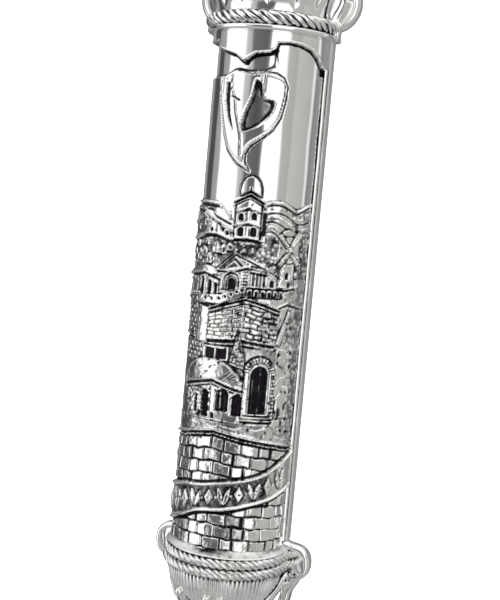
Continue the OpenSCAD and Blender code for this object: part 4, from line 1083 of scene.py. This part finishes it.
# ---------------------------------------------------------------- side rims
def side_rim():
    """Bead along each straight side, a little uneven like the casting."""
    edge = AXIS_Y + 1.6
    front = spline([(FIELD_R - 0.3, edge + 0.15), (FIELD_R - 0.05, edge - 0.02), (FIELD_R + 0.2, edge + 0.02),
                    (FIELD_R + 0.42, edge + 0.16), (FIELD_R + 0.56, edge + 0.38),
                    (FIELD_R + 0.58, edge + 0.6), (FIELD_R + 0.72, edge + 0.72), (FIELD_R + 0.9, edge + 0.92),
                    (FIELD_R + 0.98, edge + 1.3), (FIELD_R + 0.97, edge + 2.2), (FIELD_R + 0.99, edge + 3)],
                   4)
    unseen = [(FIELD_R + 1, -0.25), (FIELD_R + 0.85, 0), (FIELD_R + 0.3, 0), (FIELD_R + 0.3, BACK_Y),
              (FIELD_R - 0.3, BACK_Y)]
    section = np.concatenate([front, unseen])
    crease = np.array([FIELD_R + 0.58, edge + 0.58])
    shade = np.clip(1.1 * np.exp(-(((section - crease) / 0.17) ** 2).sum(1)), 0, 1)
    shade = np.maximum(shade, np.where((section[:, 0] < FIELD_R) & (section[:, 1] < edge + 1), 0.9, 0))
    zs = np.linspace(COVE_Z1, RING_Z0, 260)
    sway = 0.1 * np.sin(0.23 * zs + 1) + 0.05 * np.sin(0.71 * zs) + 0.03 * np.sin(1.7 * zs + 2)
    n = len(section)
    points, faces = [], []
    for side in (1, -1):
        base = len(points)
        for z, s in zip(zs, sway):
            for k, (x, y) in enumerate(section):
                near = 1 - smooth01((y - edge) / 1.2)
                points.append((side * x, y + s * near, z))
        bead = tube_faces(n, len(zs), base)
        faces += bead if side > 0 else [f[::-1] for f in bead]
    make_mesh("side_rims", points, faces, "side_rim", polished, oxide_and_shade=np.tile(shade, 2 * len(zs)), sharp=50)


side_rim()

# ---------------------------------------------------------------- bands, crown and cup
def band_profile(points, steps=5):
    return [tuple(p) for p in spline(points, steps)]


def turned_angle(ring):
    """Angle of each point of a loop round the case's axis, 0 in front."""
    return np.arctan2(ring[:, 0], AXIS_Y - ring[:, 1])


def off_back(ring):
    """1 on the turned front, falling to 0 on the flat back that lies against the door post."""
    return smooth01((-0.9 - ring[:, 1]) / 0.8)


def ring_shade(ring, k):
    return [0, 0.3, 0.1, 0, 0, 0.7, 1, 1, 1, 0][k] * off_back(ring)


d_loft("ring_band", [(FIELD_R - 1, RING_Z0), (BAND_R - 0.6, RING_Z0), (BAND_R - 0.35, RING_Z0 + 0.12),
                     (BAND_R - 0.15, RING_Z0 + 0.45), (BAND_R - 0.2, RING_Z0 + 0.8), (BAND_R - 0.5, ROPE_Z0),
                     (BAND_R - 1.2, ROPE_Z0 + 0.1), (BAND_R - 1.5, ROPE_Z0 + 1.4),
                     (BAND_R - 1.2, ROPE_Z1 - 0.1), (FIELD_R - 1, ROPE_Z1)],
       material=end_silver, node="top_ring", back=-0.05, oxide_and_shade=ring_shade)
rope("rope_top", ROPE_Z0 - 0.15, ROPE_Z1, "top_rope", 9, 5, 1.0, BAND_R + 0.35, rope_silver)
rope("rope_low_a", LOW_ROPE_MID, COVE_Z0, "bottom_rope_upper", 6, 4, 0.4, BAND_R, satin_silver)
rope("rope_low_b", LOW_ROPE_Z1, LOW_ROPE_MID, "bottom_rope_lower", 6, 4, 0.4, BAND_R, satin_silver)
cove = [(FIELD_R - 1, COVE_Z0), (BAND_R - 0.7, COVE_Z0), (BAND_R - 0.5, COVE_Z0 + 0.2)] + band_profile(
    [(BAND_R - 0.6, COVE_Z0 + 0.38), (BAND_R - 1, COVE_Z0 + 0.55), (BAND_R - 1.5, COVE_Z0 + 0.8),
     (BAND_R - 1.9, COVE_Z0 + 1.1), (BAND_R - 2.1, COVE_Z0 + 1.4)]) + [(FIELD_R - 1, COVE_Z1)]
fade = np.interp(np.linspace(0, 1, len(cove) - 4), [0, 0.3, 0.6, 1], [0.1, 0.3, 0.8, 0.95])
tone = np.array([0, 0.6, 0.25, *fade, 0])


def cove_shade(ring, k):
    a = turned_angle(ring)
    # darker round the front middle of the cove
    front_darkening = 0.28 * np.exp(-((a + 0.02) / 0.25) ** 2) * (0.1 < tone[k])
    return np.clip(tone[k] * (0.45 + 0.22 * np.sin(5 * a + 1.4)) + front_darkening, 0, 1) * off_back(ring)


d_loft("cove_band", cove, material=satin_silver, node="bottom_cove", back=-0.05, oxide_and_shade=cove_shade)


def clasp(name, side):
    """Rounded block that closes the end of the upper rope."""
    cx, cy, cz = BAND_R - 0.55, -3.1, (RING_Z0 + ROPE_Z1) / 2 + 0.1
    rows, cols = 22, 36
    points = [(side * cx, cy, cz - 2.05)]
    for i in range(1, rows):
        a = -math.pi / 2 + math.pi * i / rows
        for j in range(cols):
            b = 2 * math.pi * j / cols
            c, d = math.cos(a), math.sin(a)
            flat = abs(c) ** 0.45
            lump = 1 + 0.05 * math.sin(3 * b + 2) * math.cos(5 * a)
            x = 0.95 * flat * math.copysign(abs(math.cos(b)) ** 0.5, math.cos(b)) * lump
            y = 1.35 * flat * math.copysign(abs(math.sin(b)) ** 0.5, math.sin(b)) * lump
            z = 2.05 * math.copysign(abs(d) ** 0.6, d)
            points.append((side * (cx + x), cy + y, cz + z))
    points.append((side * cx, cy, cz + 2.05))
    faces = ball_faces(rows, cols)
    if side < 0:
        faces = [f[::-1] for f in faces]
    make_mesh(name, points, faces, "top_rope", end_silver, oxide_and_shade=[0.12] * len(points), sharp=60)


clasp("rope_clasp_right", 1)
clasp("rope_clasp_left", -1)

crown_line = band_profile([(FIELD_R + 0.1, ROPE_Z1 - 0.4), (FIELD_R + 0.3, ROPE_Z1 + 0.4),
                           (FIELD_R + 0.6, ROPE_Z1 + 1.6), (FIELD_R + 1.35, ROPE_Z1 + 3),
                           (FIELD_R + 1.85, ROPE_Z1 + 4.4), (FIELD_R + 1.75, ROPE_Z1 + 5.2),
                           (FIELD_R + 0.7, ROPE_Z1 + 5.7), (FIELD_R - 0.7, ROPE_Z1 + 7.2),
                           (FIELD_R - 3.1, ROPE_Z1 + 9.2), (FIELD_R - 6.1, ROPE_Z1 + 10.8),
                           (FIELD_R - 8.5, CROWN_Z1)], 6)


def drawn_in(ring, gain):
    """The loop with each point of its turned front scaled towards the axis by its gain."""
    ring = ring.copy()
    front = ring[:, 1] < AXIS_Y
    ring[front, 0] *= gain[front]
    ring[front, 1] = AXIS_Y + (ring[front, 1] - AXIS_Y) * gain[front]
    return ring


def crown_shape(ring, z):
    """Fourteen shallow lobes that die out at both ends of the crown."""
    lift = smooth01((z - ROPE_Z1 - 0.5) / 2.5) * smooth01((CROWN_Z1 - z) / 3)
    lobe = np.abs(np.cos(turned_angle(ring) * 7))
    return drawn_in(ring, 1 - 0.05 * lift * (1 - lobe) ** 2)


d_loft("crown_dome", [(FIELD_R - 1, SHELL_END)] + crown_line, material=end_silver, node="top_crown",
       shape=crown_shape, steps=280, sharp=70)

cup_line = band_profile([(FIELD_R - 7, CUP_Z1), (FIELD_R - 4.6, LOW_ROPE_Z1 - 11.4),
                         (FIELD_R - 2.5, LOW_ROPE_Z1 - 9), (FIELD_R - 1.2, LOW_ROPE_Z1 - 6.7),
                         (FIELD_R + 0.2, LOW_ROPE_Z1 - 3.9), (FIELD_R + 0.8, LOW_ROPE_Z1 - 1.7),
                         (FIELD_R + 1, LOW_ROPE_Z1)], 6)


PEARLS = ((-6.5, -63.4), (0.5, -63.2), (3.4, -63.2))


def clear_of_pearls(ring, z):
    """0 on the smooth seat of each pearl, rising to 1 round it."""
    near = np.min([np.hypot(ring[:, 0] - x, z - pearl_z) for x, pearl_z in PEARLS], axis=0)
    return smooth01((near - 1.05) / 0.9)


FLUTES = 84


def cup_shape(ring, z):
    """Upright flutes, with a smooth seat under each pearl."""
    groove = 0.5 + 0.5 * np.cos(turned_angle(ring) * FLUTES)
    depth = 0.35 + 0.65 * smooth01((LOW_ROPE_Z1 - z) / 1.5)
    return drawn_in(ring, 1 - 0.017 * groove ** 3 * depth * clear_of_pearls(ring, z))


def cup_shade(ring, _):
    a = turned_angle(ring)
    line = (0.5 + 0.5 * np.cos(a * FLUTES)) ** 2
    drop = LOW_ROPE_Z1 - ring[0, 2]
    uneven = 0.6 + 0.4 * np.sin(11 * a + 1) * np.sin(4.3 * a)
    lines = line * uneven * (0.45 + 0.75 * math.exp(-max(drop, 0) / 1.3))
    return np.clip(lines + 0.5 * math.exp(-(drop / 0.5) ** 2), 0, 1) * off_back(ring)


d_loft("cup_fluted", cup_line + [(FIELD_R - 1, LOW_ROPE_Z1 + 0.05), (FIELD_R - 1, -SHELL_END)],
       material=end_silver, node="bottom_cup", shape=cup_shape, steps=504, sharp=70, oxide_and_shade=cup_shade)


EAR_R, EAR_RIM, EAR_DEPTH = 6, 1.65, 3.2
high_ear = node_box("top_ear_right")[1]


def ear(name, node, side):
    """Round volute: a rolled rim about a shallow dish."""
    r, top, floor = EAR_R, -EAR_DEPTH, 0.8 - EAR_DEPTH
    profile = [(0, -0.06), (r - 0.5, -0.06), (r - 0.12, -0.25), (r, -0.8), (r, top + 1.1),
               (r - 0.1, top + 0.55), (r - 0.35, top + 0.2), (r - 0.75, top),
               (r - EAR_RIM + 0.35, top + 0.15), (r - EAR_RIM + 0.1, top + 0.45), (r - EAR_RIM, floor),
               (0.5 * r, floor + 0.22), (0, floor + 0.3)]
    lathe_y(name, side * (high_ear[0] - r), high_ear[2] - r, profile, node=node, material=end_silver)


ear("ear_top_right", "top_ear_right", 1)
ear("ear_top_left", "top_ear_left", -1)

ear_outline = spline([(11, -52.4), (13.3, -52.5), (15.8, -53), (17.3, -54.3), (17.8, -56.5), (17.3, -58.8),
                      (15.7, -60.3), (14.4, -61.6), (13.4, -62), (10.6, -61.6), (9.8, -57)], 8, True)
EAR_RINGS = [(0.35, -0.06), (0.05, -0.3), (0, -0.8), (0, -2.2), (0.12, -2.75), (0.4, -3.08), (0.75, -3.2),
             (1.05, -3.1), (1.3, -2.75), (1.4, -2.35), (2.8, -2.35)]
plate("ear_low_right", ear_outline, EAR_RINGS, tilt=-0.17, material=end_silver, node="bottom_ear_right")
plate("ear_low_left", ear_outline * [-1, 1], EAR_RINGS, tilt=-0.17, material=end_silver,
      node="bottom_ear_left")


LUG_R = 4.4


def lug(name, node, cz, side):
    """Flat eye with a countersunk screw hole."""
    r, hole = LUG_R, 1.6
    t = np.linspace(0, math.pi, 33)
    loop = [(r * math.cos(a), cz + side * r * math.sin(a)) for a in t]
    loop += [(-r, cz - side * 2.5), (r, cz - side * 2.5)]
    outer = np.array(loop)
    if side < 0:
        outer = outer[::-1]
    # the same number of points round the hole, by angle
    a = np.arctan2(outer[:, 1] - cz, outer[:, 0])
    unit = np.stack([np.cos(a), np.sin(a)], -1)
    centre = np.array([0, cz])
    rings = [(outer, -0.08), (outer, -1.7), (centre + (outer - centre) * 0.95, -2.0),
             (centre + unit * 3.5, -2.05), (centre + unit * 3.3, -2.45), (centre + unit * 3.0, -2.5),
             (centre + unit * 1.9, -2.5), (centre + unit * hole, -2.2), (centre + unit * hole, -0.08)]
    n = len(outer)
    points = np.concatenate([np.stack([q[:, 0], np.full(n, y), q[:, 1]], -1) for q, y in rings])
    make_mesh(name, points, loop_faces(n, len(rings), closed=True), node, end_silver, sharp=35)


lug("lug_top", "top_lug", 0 - CENTRE, 1)
lug("lug_low", "bottom_lug", node_box("bottom_lug")[0][2] + LUG_R, -1)


# ---------------------------------------------------------------- pearls and leaves
def small_ball(cx, cy, cz, r):
    rows, cols = 14, 24
    points = [(cx, cy, cz - r)]
    for i in range(1, rows):
        a = -math.pi / 2 + math.pi * i / rows
        for j in range(cols):
            b = 2 * math.pi * j / cols
            points.append((cx + r * math.cos(a) * math.cos(b), cy + r * math.cos(a) * math.sin(b),
                           cz + r * math.sin(a)))
    points.append((cx, cy, cz + r))
    return points, ball_faces(rows, cols)


def cup_radius(z):
    return np.interp(z, [p[1] for p in cup_line], [p[0] for p in cup_line])


def crown_radius(z):
    return np.interp(z, [p[1] for p in crown_line], [p[0] for p in crown_line])


def leaf_on(mid, wide, radius, proud, veins=5, side=1):
    """Pointed, veined leaf lying on a turned piece; mid is its spine as (arc, height)."""
    mid = spline(mid, 8)
    share = np.linspace(0, 1, len(mid))
    half = wide * np.interp(share, [0, 0.12, 0.45, 0.8, 1], [0.25, 0.75, 1, 0.62, 0.04])
    tangent = np.gradient(mid, axis=0)
    tangent /= np.linalg.norm(tangent, axis=1)[:, None]
    normal = np.stack([-tangent[:, 1], tangent[:, 0]], -1)
    across = np.linspace(-1, 1, 21)
    top, base, tone = [], [], []
    for i, c in enumerate(mid):
        for t in across:
            u, z = c + normal[i] * half[i] * t
            rib = math.cos((t + 0.6 * share[i]) * math.pi * veins) * (1 - t * t)
            crown, spine = (1 - t * t) ** 0.5, math.exp(-(t / 0.13) ** 2)
            lift = proud * (0.25 + 0.75 * crown - 0.28 * spine) + 0.08 * rib * proud
            for level, store in ((lift, top), (-0.5, base)):
                x, y, z1 = wrap(u, z, radius(z) + level)
                store.append((side * float(x), float(y), float(z1)))
            # dark along the sunken midrib, round the edge and in the vein troughs: oxide and painted shade in
            # the hollows
            tone.append(max(0.9 * math.exp(-(t / 0.1) ** 2), 0.8 * smooth01((abs(t) - 0.86) / 0.12),
                            0.25 * (rib < -0.5)))
    w, n = len(across), len(top)
    faces = []
    for i in range(len(mid) - 1):
        for j in range(w - 1):
            a, b, c, d = i * w + j, i * w + j + 1, (i + 1) * w + j + 1, (i + 1) * w + j
            faces += [(a, b, c, d), (d + n, c + n, b + n, a + n)]
    rim = [j for j in range(w)] + [i * w + w - 1 for i in range(1, len(mid))] + [
        (len(mid) - 1) * w + j for j in range(w - 2, -1, -1)] + [i * w for i in range(len(mid) - 2, 0, -1)]
    for p, q in zip(rim, rim[1:] + rim[:1]):
        faces.append((q, p, p + n, q + n))
    return top + base, faces, tone + tone


def strap(line, wide, depth, side=1):
    """Curved strap standing against the wall; line is its middle as (x, z)."""
    mid = spline(line, 8)
    share = np.linspace(0, 1, len(mid))
    half = wide * np.interp(share, [0, 0.1, 0.6, 1], [0.8, 1, 1, 0.35])
    tangent = np.gradient(mid, axis=0)
    tangent /= np.linalg.norm(tangent, axis=1)[:, None]
    normal = np.stack([-tangent[:, 1], tangent[:, 0]], -1)
    section = spline([(-1, -0.035), (-1, -0.55), (-0.92, -0.72), (-0.7, -0.8), (-0.2, -0.93), (0.3, -1),
                      (0.7, -0.96), (0.94, -0.82), (1, -0.6), (1, -0.035)], 3)
    points = [(side * (c[0] + m[0] * h * t), depth * y, c[1] + m[1] * h * t)
              for c, m, h in zip(mid, normal, half) for t, y in section]
    n, rows = len(section), len(mid)
    # painted shade along both sides of the strap, part way back from its front
    tone = [0.7 * smooth01((abs(t) - 0.97) / 0.03) * (-0.75 < y < -0.3) for _ in mid for t, y in section]
    return points, tube_faces(n, rows), tone


def volume(points, faces):
    p = [np.asarray(q, float) for q in points]
    return sum(np.dot(p[f[0]], np.cross(p[f[k]], p[f[k + 1]])) for f in faces for k in range(1, len(f) - 1))


def joined(name, parts, node, material=end_silver):
    """One mesh from several closed pieces, each turned to face outwards."""
    points, faces, tone = [], [], []
    for some, loops, oxide_and_shade in parts:
        if volume(some, loops) < 0:
            loops = [f[::-1] for f in loops]
        faces += [tuple(i + len(points) for i in f) for f in loops]
        points += list(some)
        tone += list(oxide_and_shade)
    make_mesh(name, points, faces, node, material, oxide_and_shade=tone, sharp=60)


pieces = []
for x, z in PEARLS:
    seat = cup_radius(z) + 0.35
    ball, loops = small_ball(x, AXIS_Y - math.sqrt(seat ** 2 - x * x), z, 0.9)
    pieces.append((ball, loops, [0] * len(ball)))
joined("pearls", pieces, "cup_pearls", material=satin_silver)

sprigs = ([(-5.1, -64.3), (-4.3, -65), (-3.5, -65.9), (-3, -67)],
          [(4.6, -64.4), (5.2, -65.4), (5.2, -66.6), (4.6, -67.6)],
          [(-0.9, -64.6), (-1.5, -65.6), (-1.5, -66.8), (-0.8, -67.8)])
pieces = [leaf_on([(1.12 * u, z) for u, z in path], 0.5, cup_radius, 0.4, 3) for path in sprigs]
joined("sprigs", pieces, "cup_pearls")

for side, word in ((1, "right"), (-1, "left")):
    leaf = leaf_on([(20.8, -58.9), (19, -60.7), (16.8, -62.9), (14.5, -65), (12, -67), (9.4, -69)], 1.15,
                   cup_radius, 0.75, 5, side)
    inner = leaf_on([(22, -61.6), (21, -64), (19, -66.6), (15.6, -69)], 1.1, cup_radius, 0.6, 5, side)
    band = strap([(15.2, -58.8), (14.2, -60.8), (13.1, -62.9), (12.65, -65.1), (11.8, -67.2), (9.9, -69.2),
                  (7.2, -70.6)], 1.12, 2.95,
                 side)
    joined("leaf_" + word, [leaf, inner, band], "cup_leaf_" + word)

for side, word in ((1, "right"), (-1, "left")):
    pieces = [leaf_on([(16.6, 57), (16.3, 58.6), (15.6, 60.2), (14.9, 62), (14.4, 63.4)], 0.75, crown_radius,
                      0.6, 3, side)]
    joined("crown_leaves_" + word, pieces, "top_crown")

# ---------------------------------------------------------------- back and scroll
dress("back_frame", back_metal)
dress("back_cover", back_metal)
dress("klaf_sleeve", clear_film)


def scroll():
    """Parchment wound in a spiral."""
    low, high = node_box("klaf_roll")
    cx, cy = (low[0] + high[0]) / 2, (low[1] + high[1]) / 2
    outer, thick, turns = (high[0] - low[0]) / 2 - 0.02, 0.16, 6.4
    count = 420
    a = np.linspace(0, turns * 2 * math.pi, count)
    r = outer - (outer - 1.45) * a / a[-1]
    loops = []
    for q in (r, r - thick):
        loops.append(np.stack([cx + q * np.cos(a + 0.6), cy + q * np.sin(a + 0.6)], -1))
    section = np.concatenate([loops[0], loops[1][::-1]])
    n = len(section)
    zs = np.linspace(low[2], high[2], 5)
    points = np.concatenate([np.column_stack([section, np.full(n, z)]) for z in zs])
    faces = loop_faces(n, len(zs))
    for base, flip in ((0, True), ((len(zs) - 1) * n, False)):
        for i in range(count - 1):
            f = (base + i, base + i + 1, base + n - 2 - i, base + n - 1 - i)
            faces.append(f[::-1] if flip else f)
    make_mesh("parchment_roll", points, faces, "klaf_roll", parchment, "parchment", body="scroll", sharp=40)


scroll()

# ---------------------------------------------------------------- camera
swing = TURNED / FIELD_R
turn, tip, roll = math.radians(9.879) + swing, math.radians(4.7), math.radians(5.049)
distance, aim_out = 245.216, 4.5
aim = np.array([aim_out * math.sin(swing), AXIS_Y - aim_out * math.cos(swing), CENTRE])
behind = np.array([math.sin(turn) * math.cos(tip), -math.cos(turn) * math.cos(tip), math.sin(tip)])
level = np.cross(-behind, [0, 0, 1])
level /= np.linalg.norm(level)
above = np.cross(level, -behind)
right = level * math.cos(roll) + above * math.sin(roll)
upward = -level * math.sin(roll) + above * math.cos(roll)
eye = (aim + behind * distance) * MM
camera_data = bpy.data.cameras.new("camera")
camera = bpy.data.objects.new("camera", camera_data)
bpy.context.scene.collection.objects.link(camera)
camera.matrix_world = Matrix([[right[i], upward[i], behind[i], eye[i]] for i in range(3)] + [[0, 0, 0, 1]])
camera_data.sensor_width = 36
camera_data.lens = 70.86
camera_data.shift_x = 0.0068
camera_data.shift_y = -0.0095
camera_data.clip_start = 0.01
camera_data.clip_end = 20
bpy.context.scene.camera = camera

# ---------------------------------------------------------------- floor, light and surroundings
def backdrop():
    """Pale sheet under and behind the case, curved up at the back."""
    floor_z = cad_box[0][2] - 0.0002
    xs = np.linspace(-1.6, 1.6, 3)
    bend = [(0.5 + 0.5 * math.sin(a), 0.5 - 0.5 * math.cos(a)) for a in np.linspace(0, math.pi / 2, 13)]
    line = [(-1.8, 0)] + bend + [(1, 1.8)]
    points = [(x, y, floor_z + h) for y, h in line for x in xs]
    faces = [(k * 3 + i, k * 3 + i + 1, k * 3 + i + 4,
              k * 3 + i + 3) for k in range(len(line) - 1) for i in range(2)]
    mesh = bpy.data.meshes.new("backdrop")
    mesh.from_pydata(points, [], faces)
    for p in mesh.polygons:
        p.use_smooth = True
    obj = bpy.data.objects.new("backdrop", mesh)
    bpy.context.scene.collection.objects.link(obj)
    mat, _, shader = nodes_of("backdrop_paper")
    shader.inputs["Base Color"].default_value = (0.95, 0.95, 0.95, 1)
    shader.inputs["Roughness"].default_value = 0.9
    shader.inputs["Emission Color"].default_value = (1, 1, 1, 1)
    shader.inputs["Emission Strength"].default_value = 0.55
    mesh.materials.append(mat)
    obj.visible_glossy = False


backdrop()
world = bpy.data.worlds.new("studio")
bpy.context.scene.world = world
world.use_nodes = True
tree = world.node_tree
tree.nodes.clear()
coord = tree.nodes.new("ShaderNodeTexCoord")
split = tree.nodes.new("ShaderNodeSeparateXYZ")
link(tree, coord.outputs["Generated"], split.inputs[0])
front = math_node(tree, "MULTIPLY", split.outputs["Y"], -1.0)
bearing = math_node(tree, "ARCTAN2", split.outputs["X"], front)
share = span(tree, bearing, -math.pi, math.pi, 0, 1)
ramp = tree.nodes.new("ShaderNodeValToRGB")
link(tree, share, ramp.inputs[0])
# brightness of the studio by bearing in degrees round the case, 0 in front
BANDS = ((-180, 0.2), (-150, 0.22), (-130, 0.4), (-118, 0.08), (-100, 0.08), (-96, 0.34), (-80, 0.4),
         (-76, 1.25), (-32, 1.35), (-28, 0.62), (-19, 0.5), (-14, 0.17), (12, 0.13), (17, 0.3), (20, 1.3),
         (53, 1.35), (59, 0.5), (77, 0.45), (82, 0.56), (122, 0.48), (127, 0.9), (131, 0.8), (136, 0.25),
         (150, 0.3), (178, 0.33))
ramp.color_ramp.elements.remove(ramp.color_ramp.elements[1])
for k, (degrees, value) in enumerate(BANDS):
    at = (degrees + 180) / 360
    stop = ramp.color_ramp.elements[0] if k == 0 else ramp.color_ramp.elements.new(at)
    stop.position = at
    tint = (1, 0.96, 0.97) if abs(degrees) < 18 else (0.985, 1, 0.95) if 55 < degrees < 125 else (1, 1, 1)
    stop.color = (value * tint[0], value * tint[1], value * tint[2], 1)
height = split.outputs["Z"]
up_soft = span(tree, height, 0.35, 0.7, 0, 1)
down_soft = span(tree, height, -0.35, -0.7, 0, 1)
mixed = mix_colour(tree, up_soft, ramp.outputs[0], (1.15, 1.15, 1.15))
mixed = mix_colour(tree, down_soft, mixed, (0.46, 0.455, 0.45))
# the camera itself sees plain white
path = tree.nodes.new("ShaderNodeLightPath")
shown = mix_colour(tree, path.outputs["Is Camera Ray"], mixed, (1, 1, 1))
light = tree.nodes.new("ShaderNodeBackground")
link(tree, shown, light.inputs[0])
out = tree.nodes.new("ShaderNodeOutputWorld")
link(tree, light.outputs[0], out.inputs[0])

bpy.context.scene.view_settings.view_transform = "Standard"
bpy.context.scene.view_settings.look = "None"
